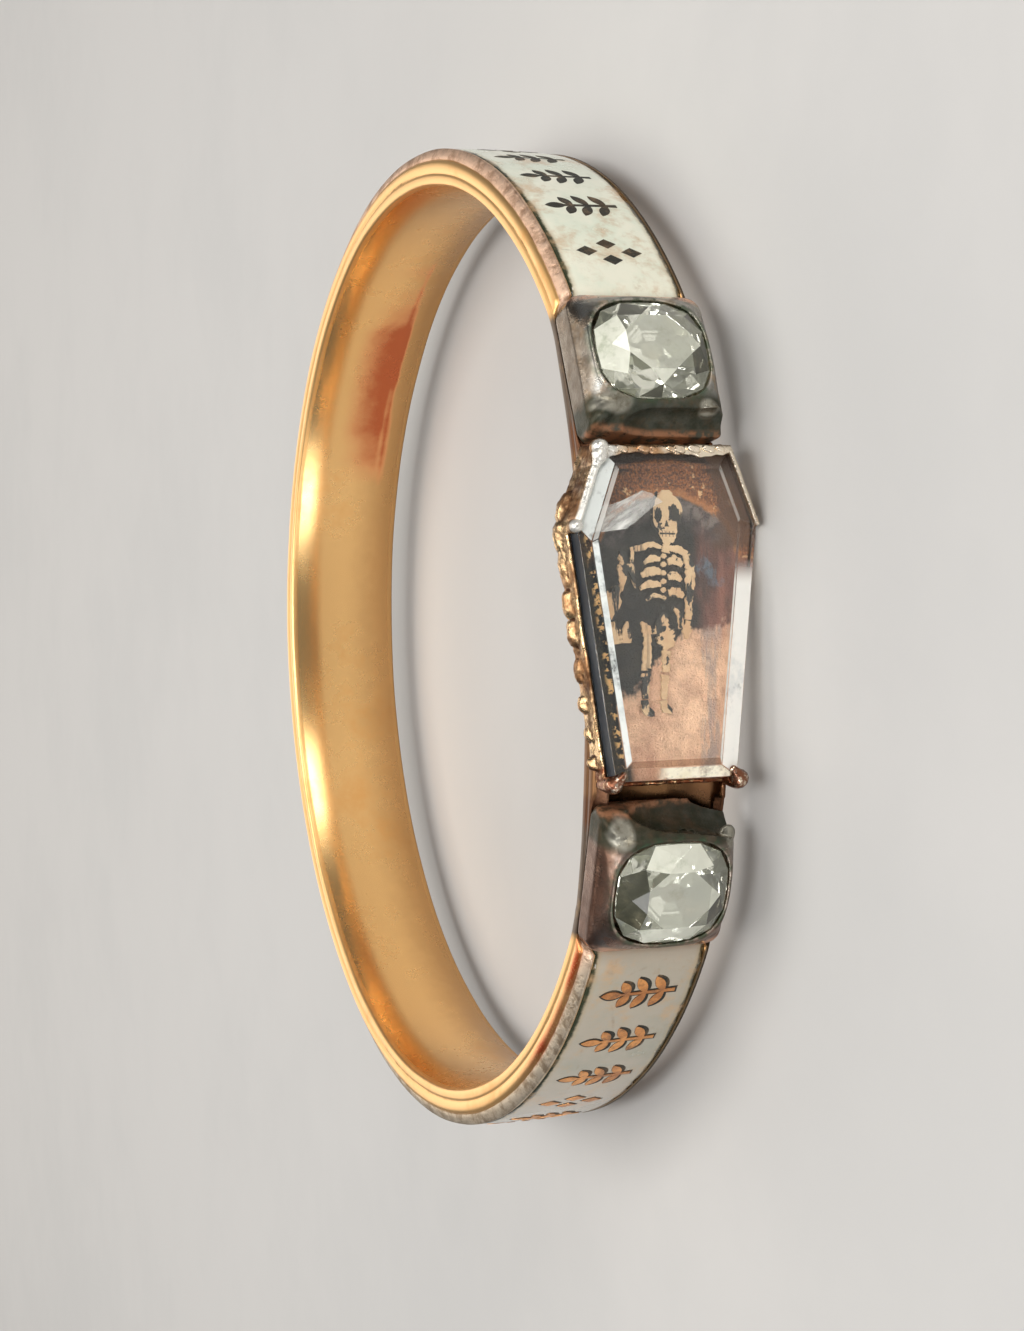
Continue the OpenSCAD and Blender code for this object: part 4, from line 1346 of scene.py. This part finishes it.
# %% Finish the stones
def stone_finish(name, ior, tint, shade, glint):
    stone = Finish(name, roughness=0.0)
    wear, fine = stone.wear(1800.0, 0.3)
    worn_tint = tuple(0.97 * c for c in tint)
    stone.set(ior=ior, transmission_weight=1.0, specular_tint=(glint, glint, glint),
              base_color=blend(wear, tint, worn_tint))
    stone.bump(fine, 0.04, 0.004)
    shadow_ray = Wire(stone.tree.nodes.new("ShaderNodeLightPath").outputs["Is Shadow Ray"])
    return stone.lay_over(shadow_ray, new_node(stone.tree, "ShaderNodeBsdfTransparent", {"Color": shade}))


def skin_over(stone, amount, color, shade, metallic=0.0, grain=700.0, coat=0.4):
    mask, _ = stone.wear(grain, 0.42)
    inputs = {"Metallic": metallic, "Roughness": 0.3 if coat > 0 else 0.7, "Coat Weight": coat,
              "Base Color": blend(mask, color, shade)}
    return stone.lay_over(amount, new_node(stone.tree, "ShaderNodeBsdfPrincipled", inputs))


def diamond_finish(name, dullness, tint=(0.97, 0.98, 0.86), pale=(0.80, 0.81, 0.69),
                   shade=(0.46, 0.50, 0.37)):
    stone = stone_finish(name, 2.42, tint, (0.86, 0.88, 0.76), 0.6)
    return skin_over(stone, dullness, pale, shade, grain=1600.0)


diamond = [diamond_finish("old cut diamond", 0.08),
           diamond_finish("rubbed table", 0.42, shade=(0.60, 0.62, 0.50)),
           diamond_finish("frosted facet", 0.75),
           # Painted shade: facets painted nearly black.
           diamond_finish("facet painted in shade", 0.9, (0.3, 0.3, 0.2), (0.035, 0.035, 0.02), (0.10, 0.09, 0.055))]


def paint_facets(piece, facets_of):
    for slot, facets in facets_of.items():
        for index in facets:
            piece.data.polygons[index].material_index = slot


def old_cut(name, sign, shift, frosted, dark):
    outlines = ((8, 22.5, 0.58, 0.34, 2.3), (8, 45, 0.79, 0.21, 2.5), (16, 22.5, 0.985, 0.025, 3.0),
                (16, 22.5, 0.985, -0.025, 3.0), (8, 22.5, 0.56, -0.36, 2.5), (8, 22.5, 0.2, -0.64, 2.2))
    rings = [cushion(stone_l * share_of, stone_w * share_of, bulge, sides, height, 0.0, turn_by)
             for sides, turn_by, share_of, height, bulge in outlines]
    table, star, top, bottom, belly_ring, culet = np.cumsum([0] + [len(ring) for ring in rings])[:6]
    faces = [[table + i for i in range(8)], [culet + i for i in range(8)][::-1]]
    for i in range(8):
        j, k, m = (i + 1) % 8, 2 * i, 2 * ((i + 1) % 8)
        faces += [[table + i, table + j, star + i], [table + j, star + j, top + m, star + i],
                  [star + i, top + k, top + k + 1], [star + i, top + k + 1, top + m],
                  [bottom + k, bottom + k + 1, belly_ring + i],
                  [bottom + k + 1, belly_ring + j, belly_ring + i],
                  [bottom + k + 1, bottom + m, belly_ring + j],
                  [belly_ring + i, belly_ring + j, culet + j, culet + i]]
    faces += ring_walls(top, 16)
    points = np.array([p for ring in rings for p in ring])
    origin, away, out = setting_frame(sign)
    a, h = points[:, 0] + shift, points[:, 2] + girdle_h
    world = [origin[0] + away[0] * a + out[0] * h, origin[1] + away[1] * a + out[1] * h, points[:, 1]]
    stone = plain_mesh(name, np.stack(world, -1), faces, smooth=False)
    paint_facets(stone, {1: (0,), 2: frosted, 3: dark})
    return dress(count(outwards(stone)), *diamond)


# The second list of each stone holds the facets painted dark as painted shade.
head_facets = ((3, 11, 12, 13, 10, 26, 42), (59, 28, 52, 45, 44, 35))
foot_facets = ((19, 26, 27, 28, 29, 42, 58, 59, 51), (10, 3, 11, 12, 13, 43))
for name, node, sign, shift, facets in (("head_old_cut", "head_diamond", 1, 0.09, head_facets),
                                        ("foot_old_cut", "foot_diamond", -1, 0.08, foot_facets)):
    stone = old_cut(name, sign, shift, *facets)
    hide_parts(node)
    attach(stone, "root")

# %% [markdown]
# The crystal is cut like the lid of a coffin, in three sloping steps round a table. The steps were cut
# by eye and are wider on the lower side. Long wear has rounded the edges between them, and a rounded
# edge catches a thin line of light, so each edge gets a tiny bevel.

# %% Cut the crystal
def inset(distances):
    normals = edge_normals(corners)
    reach = [normals[k] @ corners[k] - distances[k] for k in range(6)]
    return [np.linalg.solve([normals[k - 1], normals[k]], [reach[k - 1], reach[k]]) for k in range(6)]


first_step = np.array([0.36, 0.30, 0.26, 0.31, 0.19, 0.22])
second_step = first_step + [0.08, 0.10, 0.10, 0.08, 0.11, 0.14]
third_step = second_step + [0.42, 0.45, 0.45, 0.50, 0.48, 0.26]
step1_z = girdle_z + step1_h
step2_z = step1_z + step2_h
layers = [(crystal_z, np.zeros(6)), (girdle_z, np.zeros(6)), (step1_z, first_step), (step2_z, second_step)]
for height, near_width in ((0.036, 0.11), (0.054, 0.27)):
    split = second_step + (third_step - second_step) * height / step3_h
    split[near_long] = second_step[near_long] + near_width
    layers.append((step2_z + height, split))
layers.append((step2_z + step3_h, third_step))
cut_points = [[on_front(x, z, out) for x, z in inset(distances)] for out, distances in layers]
cut_faces = [[i + k, i + (k + 1) % 6, i + 6 + (k + 1) % 6, i + 6 + k]
             for i in range(0, 6 * len(layers) - 6, 6) for k in range(6)]
cut_faces += [list(range(6)), list(range(6 * len(layers) - 6, 6 * len(layers)))[::-1]]
crystal = plain_mesh("cut_crystal", cut_points, cut_faces, smooth=False)
side_row, first_row, second_row = 0, 6, 12
paint_facets(crystal, {1: (first_row + far_long, second_row + far_long),
                       2: (second_row + near_slope, second_row + far_slope),
                       3: (first_row + near_long,),
                       4: (first_row + far_slope, second_row + foot),
                       5: (first_row + near_slope, second_row + near_long),
                       6: (first_row + foot,),
                       7: (side_row + near_long,)})
work = bmesh.new()
work.from_mesh(crystal.data)
bmesh.ops.recalc_face_normals(work, faces=work.faces)
bmesh.ops.bevel(work, geom=work.edges, offset=0.011 * MM, segments=2, affect="EDGES", profile=0.6)
work.to_mesh(crystal.data)
work.free()
crystal = count(crystal)


# %% [markdown]
# Several bevels are scuffed until they are white, and one broken corner is cloudy. Scuffs scatter
# light, so they are a rough pale skin that lies in patches over the clear glass. The lower side wall is
# painted blue-black and the bevel above it tinted dark blue, both as painted shade, and gold grains
# lie on that bevel.

# %% Finish the crystal
def crystal_finish(name, scuff, top_x=3.0, tint=(0.98, 0.97, 0.95), cover=0.72, near_z=3.0,
                   pale=(1.0, 0.99, 0.93), shade=(0.62, 0.67, 0.67)):
    stone = stone_finish(name, 1.544, tint, (0.97, 0.965, 0.95), 0.35 if tint[0] > 0.5 else 0.05)
    worn, _ = stone.wear(1500.0, cover)
    fade = step(-stone.axis("X"), -top_x, -top_x + 0.5)
    here = step(stone.axis("Z"), near_z, near_z - 0.3)
    return skin_over(stone, worn * scuff * fade * here, pale, shade)


def granules_over(stone):
    inner_half = step(stone.axis("Z") + stone.axis("X") * -0.127, 1.49, 1.40)
    grains = step(noise(stone.tree, 7000.0, 3.0, 0.7, Vector=object_place(stone.tree)), 0.50, 0.57)
    return skin_over(stone, grains * inner_half, (0.80, 0.50, 0.22), (0.30, 0.15, 0.06), 0.7)


# Painted shade: a dark blue tint for the near bevel and the near side wall.
painted_shade_tint = (0.07, 0.09, 0.12)
dress(crystal,
      crystal_finish("clear crystal", 0.02),
      crystal_finish("scuffed crystal", 0.9, 1.1),
      crystal_finish("cloudy crystal", 0.35),
      granules_over(crystal_finish("shaded crystal", 0.03, tint=painted_shade_tint)),
      crystal_finish("brown crystal", 0.06, tint=(0.42, 0.27, 0.17)),
      crystal_finish("white crystal", 0.95, 3.6, cover=0.62, pale=(0.70, 0.73, 0.70),
                     shade=(0.27, 0.32, 0.33)),
      crystal_finish("chipped crystal", 0.95, 3.6, cover=0.6, near_z=0.45, pale=(0.98, 0.93, 0.74),
                     shade=(0.74, 0.66, 0.42)),
      skin_over(crystal_finish("side painted in shade", 0.0, tint=painted_shade_tint), 0.9, (0.012, 0.017, 0.024),
                (0.04, 0.048, 0.055), coat=0.0))
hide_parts("rock_crystal")
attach(crystal, "root")

# %% [markdown]
# A crack runs into the crystal from its lower shoulder. A crack inside a clear stone is a thin layer of
# air, which shows as a torn silvery veil, so it is a thin sheet inside the stone, streaked and half clear.

# %% Add the crack
torn = ((1.93, 1.55), (2.02, 1.2), (2.12, 0.88), (2.29, 0.50), (2.24, 0.30), (2.10, 0.10), (2.0, 0.32),
        (1.82, 0.55), (1.63, 0.80), (1.60, 1.10), (1.56, 1.40), (1.70, 1.57))
veil_points = [on_front(x, z, girdle_z - depth - 0.05 * z) for depth in (0.06, 0.065) for x, z in torn]
veil_faces = prism_faces(0, len(torn))
veil = count(outwards(plain_mesh("crystal_crack", veil_points, veil_faces, smooth=False)))


def torn_veil():
    film = Finish("torn veil", roughness=0.3)
    streaks = film.streaks(3.2, 0.7, 900.0, 0.6)
    film.set(base_color=blend(streaks, (0.55, 0.56, 0.54), (0.98, 0.98, 0.95)))
    cover = level(step(streaks, 0.42, 0.62) * step(film.axis("Z"), 0.2, 0.9), 0.22, 0.85)
    clear = film.tree.nodes.new("ShaderNodeBsdfTransparent")
    both = new_node(film.tree, "ShaderNodeMixShader", {"Fac": cover, 1: Wire(clear.outputs[0]),
                                                       2: Wire(film.shader.outputs[0])})
    feed(film.tree.nodes["Material Output"].inputs["Surface"], Wire(both.outputs[0]))
    return film


dress(veil, torn_veil())
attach(veil, "root")


# %% [markdown]
# ## The picture under the crystal
# A skeleton is painted cream on a slate-black ground. The ground has gone: the foil behind it shows
# rose and copper at the foot and along one side, and brown decay has crept in under the head, in the
# shape of an arch. Each of these is a mask made from the place in the coffin, broken up with noise.

# %% Finish the picture
def picture_ground():
    board = Finish("decayed picture ground", roughness=0.42)
    x, z = board.axis("X"), board.axis("Z")
    _, fine = board.wear(800.0, 0.5)
    grit, fine_grit = board.wear(3800.0, 0.5)
    wave = (board.streaks(0.7, 1.0, 900.0) - 0.5) * 2.6
    from_edge = z + x * -0.127

    slate = blend(grit, (0.006, 0.008, 0.009), (0.026, 0.025, 0.021))
    plum = blend(step(board.streaks(0.35, 1.6, 1500.0), 0.35, 0.65),
                 (0.040, 0.018, 0.014), (0.22, 0.085, 0.06))
    aside = step(-z + wave * 0.35, 0.55, 0.8)
    bare = step(-x + z * -0.75 + wave, 0.62, 0.85) * (1.0 - step(from_edge, 0.98, 1.12))
    rosy = blend(step(board.streaks(0.9, 1.2, 900.0), 0.36, 0.64), (0.66, 0.38, 0.26), (0.94, 0.64, 0.44))
    lilac_side = step(board.streaks(0.3, 2.0, 1500.0), 0.42, 0.58) * aside
    copper = layered(rosy, (grit * 0.45, (0.42, 0.22, 0.14)), (lilac_side * 0.8, (0.36, 0.30, 0.28)))

    blue_spot = new_node(board.tree, "ShaderNodeVectorMath", {
        0: object_place(board.tree), 1: (0.96 * MM, -9.18 * MM, -0.72 * MM)}, operation="DISTANCE")
    blue = step(Wire(blue_spot.outputs["Value"]) * 1000.0 + wave, 0.30, 0.12)

    offset = new_node(board.tree, "ShaderNodeCombineXYZ", {"X": (x - 1.15) * 0.95, "Z": (z + 0.1) * 0.78})
    arch = new_node(board.tree, "ShaderNodeVectorMath", {0: Wire(offset.outputs[0])}, operation="LENGTH")
    rough_arch = Wire(arch.outputs["Value"]) + wave * 0.10
    cloud = step(rough_arch, 0.55, 0.9) * step(x, 1.2, 1.7)
    cloudy = blend(step(fine, 0.4, 0.6), (0.05, 0.045, 0.045), (0.20, 0.17, 0.16))
    decay = step(rough_arch, 0.97, 1.04) * step(x, 0.95, 1.3)
    rust = layered(blend(step(fine_grit, 0.35, 0.68), (0.05, 0.014, 0.004), (0.38, 0.13, 0.032)),
                   (step(fine, 0.60, 0.68), (0.70, 0.44, 0.22)),
                   (step(rough_arch, 1.16, 1.04) * 0.6, (0.50, 0.20, 0.06)),
                   (step(rough_arch, 1.50, 1.62), (0.020, 0.009, 0.004)))

    brown_side = step(x, 1.15, 1.4) * step(z + wave, -0.75, -0.95)
    strip = step(from_edge, 1.10, 1.18) * step(from_edge, 1.48, 1.38)
    granules = strip * step(noise(board.tree, 9000.0, 2.0, 0.6), 0.55, 0.62)
    board.set(metallic=bare * 0.6, base_color=layered(
        blend(aside, slate, plum), (bare, copper), (blue * 0.7, (0.10, 0.15, 0.21)), (cloud * 0.8, cloudy),
        (decay, rust), (brown_side * 0.85, (0.07, 0.03, 0.012)), (granules, (0.90, 0.62, 0.25))))
    board.bump(fine_grit + fine, 0.9, 0.05)
    return board


def painted_bone():
    bone = Finish("painted bone", roughness=0.45)
    tone, fine = bone.wear(700.0, 0.5)
    lower_side = step(bone.axis("Z"), 0.25, 0.6)
    split = step(bone.streaks(0.22, 2.4, 2600.0), 0.57, 0.60)
    gone = larger(step(bone.streaks(0.8, 1.5, 2100.0), 0.55, 0.575), split * lower_side)
    bone.set(base_color=layered(blend(tone, (0.66, 0.49, 0.30), (0.56, 0.35, 0.19)),
                                (fine * 0.5, (0.34, 0.22, 0.13)), (gone, (0.026, 0.027, 0.025))))
    bone.bump(gone, 0.5, -0.02)
    return bone


dress(NODES["picture_ground"], picture_ground())

# %% [markdown]
# ## The painted skeleton
# The figure was painted in a few loose strokes, and the paint has split into long splinters since. Each
# bone is drawn as one flat stroke: a path, a width at each point of it, and an uneven outline. The
# strokes lie one over the other like real paint, and dark strokes stand for the eyes and the gaps.

# %% Draw the head and the chest
def stroke(path, widths, seed, ragged=0.25):
    path, random = np.array(path, float), np.random.default_rng(seed)
    t, knots = np.linspace(0, 1, 16), np.linspace(0, 1, len(path))
    middle = np.stack([np.interp(t, knots, path[:, 0]), np.interp(t, knots, path[:, 1])], -1)
    for _ in range(2):
        middle[1:-1] = (middle[:-2] + middle[1:-1] * 2 + middle[2:]) / 4
    half = np.interp(t, knots, widths) / 2
    ahead = np.gradient(middle, axis=0)
    ahead /= np.linalg.norm(ahead, axis=1)[:, None]
    aside = np.stack([-ahead[:, 1], ahead[:, 0]], -1)
    left, right = (half * (1 + random.uniform(-ragged, ragged, len(t))) for _ in range(2))
    return np.concatenate([middle + aside * left[:, None], (middle - aside * right[:, None])[::-1]])


def oval(x, z, rx, rz, seed, ragged=0.05):
    random = np.random.default_rng(seed)
    t = np.radians(np.arange(0, 360, 12))
    r = 1 + random.uniform(-ragged, ragged, len(t))
    return np.stack([rx * r * np.cos(t), rz * r * np.sin(t)], -1) + [x, z]


cream, dark = 0, 1
strokes = []


def paint(tone, path, widths, *seed_and_edge):
    strokes.append((stroke(path, widths, *seed_and_edge), tone))


def dab(tone, *sizes):
    strokes.append((oval(*sizes), tone))


dab(cream, 1.93, -0.07, 0.36, 0.30, 1)
paint(cream, [[1.70, -0.09], [1.52, -0.09], [1.40, -0.08]], [0.40, 0.32, 0.20], 2, 0.1)
paint(cream, [[1.42, -0.06], [1.22, -0.02]], [0.12, 0.15], 3)
dab(dark, 1.93, -0.21, 0.15, 0.075, 4, 0.1)
dab(dark, 1.89, 0.10, 0.13, 0.075, 5, 0.12)
paint(dark, [[1.79, -0.06], [1.68, -0.06]], [0.02, 0.09], 6)
paint(dark, [[1.56, 0.08], [1.55, -0.22]], [0.03, 0.03], 7)
paint(dark, [[2.27, 0.10], [2.10, 0.22], [1.92, 0.21], [1.74, 0.24], [1.58, 0.10]],
      [0.03, 0.07, 0.04, 0.09, 0.03], 8, 0.5)
for k in range(4):
    tooth_z = -0.18 + 0.07 * k
    paint(dark, [[1.60, tooth_z], [1.50, tooth_z]], [0.012, 0.012], 9)
paint(cream, [[1.30, -0.08], [1.28, -0.26], [1.18, -0.44]], [0.08, 0.13, 0.10], 10)
paint(cream, [[1.31, 0.06], [1.38, 0.26], [1.30, 0.48], [1.29, 0.66]], [0.06, 0.10, 0.11, 0.07], 11)
for k in range(7):
    dab(cream, 1.16 - 0.15 * k, 0.02 + 0.006 * k, 0.045, 0.05, 12 + k, 0.2)
near_ribs = ((1.10, 0.40, 0.13), (0.88, 0.46, 0.17), (0.65, 0.50, 0.14), (0.44, 0.38, 0.08))
far_ribs = ((1.06, 0.34, 0.17), (0.79, 0.31, 0.15), (0.50, 0.34, 0.17))
for k, (x, reach, width) in enumerate(near_ribs):
    rib = [[x, 0.09], [x + 0.03, reach * 0.6], [x - 0.06, reach]]
    paint(cream, rib, [width * 0.6, width, width * 0.5], 20 + k)
for k, (x, reach, width) in enumerate(far_ribs):
    rib = [[x, -0.06], [x + 0.03, -reach * 0.6], [x - 0.07, -reach]]
    paint(cream, rib, [width * 0.7, width, width * 0.5], 25 + k)
print("skull, chest and ribs: %d strokes" % len(strokes))

# %% [markdown]
# The arms hang down and the legs stand side by side. On the lower side of the ring each bone has split
# into two or three splinters with pointed ends. A row below holds the three points of a stroke, one
# after the other, and then its three widths.

# %% Draw the limbs
limbs = ((1.18, -0.44, 0.86, -0.50, 0.50, -0.47, 0.13, 0.19, 0.15),
         (0.50, -0.46, 0.22, -0.44, 0.02, -0.42, 0.15, 0.12, 0.13),
         (0.0, -0.42, -0.18, -0.38, -0.33, -0.36, 0.10, 0.17, 0.05),
         (1.31, 0.62, 0.95, 0.66, 0.60, 0.59, 0.04, 0.12, 0.01),
         (1.25, 0.79, 0.92, 0.80, 0.55, 0.84, 0.10, 0.19, 0.01),
         (0.66, 0.90, 0.38, 0.95, 0.03, 1.0, 0.06, 0.20, 0.01),
         (0.57, 1.08, 0.35, 1.07, 0.12, 1.08, 0.10, 0.13, 0.01),
         (0.03, 0.94, -0.18, 0.93, -0.37, 0.92, 0.01, 0.12, 0.17),
         (0.02, 0.76, -0.16, 0.77, -0.36, 0.78, 0.01, 0.15, 0.15),
         (0.0, 0.50, -0.10, 0.42, -0.24, 0.38, 0.04, 0.16, 0.18),
         (0.16, 0.04, -0.02, 0.10, -0.22, 0.10, 0.10, 0.24, 0.36),
         (0.26, -0.12, 0.10, -0.26, -0.14, -0.28, 0.04, 0.09, 0.10),
         (-0.20, 0.06, -0.34, 0.02, -0.48, -0.03, 0.34, 0.30, 0.20),
         (-0.52, 0.02, -0.70, 0.05, -0.90, 0.06, 0.18, 0.13, 0.16),
         (-0.95, 0.07, -1.15, 0.10, -1.38, 0.12, 0.16, 0.12, 0.10),
         (-1.40, 0.13, -1.56, 0.11, -1.63, -0.02, 0.12, 0.13, 0.03),
         (-0.16, 0.38, -0.50, 0.41, -0.86, 0.43, 0.12, 0.15, 0.15),
         (-0.91, 0.44, -1.14, 0.46, -1.36, 0.47, 0.15, 0.12, 0.10),
         (-1.38, 0.48, -1.58, 0.47, -1.67, 0.34, 0.12, 0.13, 0.03))
for k, row in enumerate(limbs):
    paint(cream, np.reshape(row[:6], (3, 2)), row[6:], 30 + k)
dab(dark, -0.13, 0.08, 0.055, 0.05, 60, 0.2)
dab(dark, -0.30, 0.12, 0.04, 0.03, 61, 0.2)
for place_x, place_z in ((-1.52, 0.06), (-1.56, 0.41)):
    for toe in range(3):
        gap_line = [[place_x + 0.03 * toe, place_z], [place_x - 0.11 + 0.03 * toe, place_z - 0.10]]
        paint(dark, gap_line, [0.016, 0.012], 62 + toe)

bone_levels = vectors(NODES["skeleton"].data.vertices)[:, 1] / MM
bone_top, bone_bottom = -bone_levels.min(), -bone_levels.max()
figure_points, figure_faces, tones = [], [], []
for k, (outline, tone) in enumerate(strokes):
    n, base, top_of_stroke = len(outline), len(figure_points), bone_top - 0.03 + 0.0004 * k
    figure_points += [on_front(x, z, up) for up in (top_of_stroke, bone_bottom) for x, z in outline]
    figure_faces += prism_faces(base, n)
    tones += [tone] * (n + 2)
figure = outwards(plain_mesh("painted_figure", figure_points, figure_faces, smooth=False))
for polygon, tone in zip(figure.data.polygons, tones):
    polygon.material_index = tone


def dark_paint():
    paint = Finish("dark paint", roughness=0.45)
    spots, fine = paint.wear(2600.0, 0.5)
    paint.set(base_color=blend(spots, (0.010, 0.012, 0.013), (0.035, 0.033, 0.028)))
    paint.bump(fine, 0.3, 0.01)
    return paint


dress(count(figure), painted_bone(), dark_paint())
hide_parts("skeleton")
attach(figure, "root")
print("skeleton: %d strokes" % len(strokes))

# %% [markdown]
# ## The end
# The box of the exact model is written down.

# %% Finish the scene
print("model box ", [round(float(v) / MM, 3) for c in cad_box for v in c])
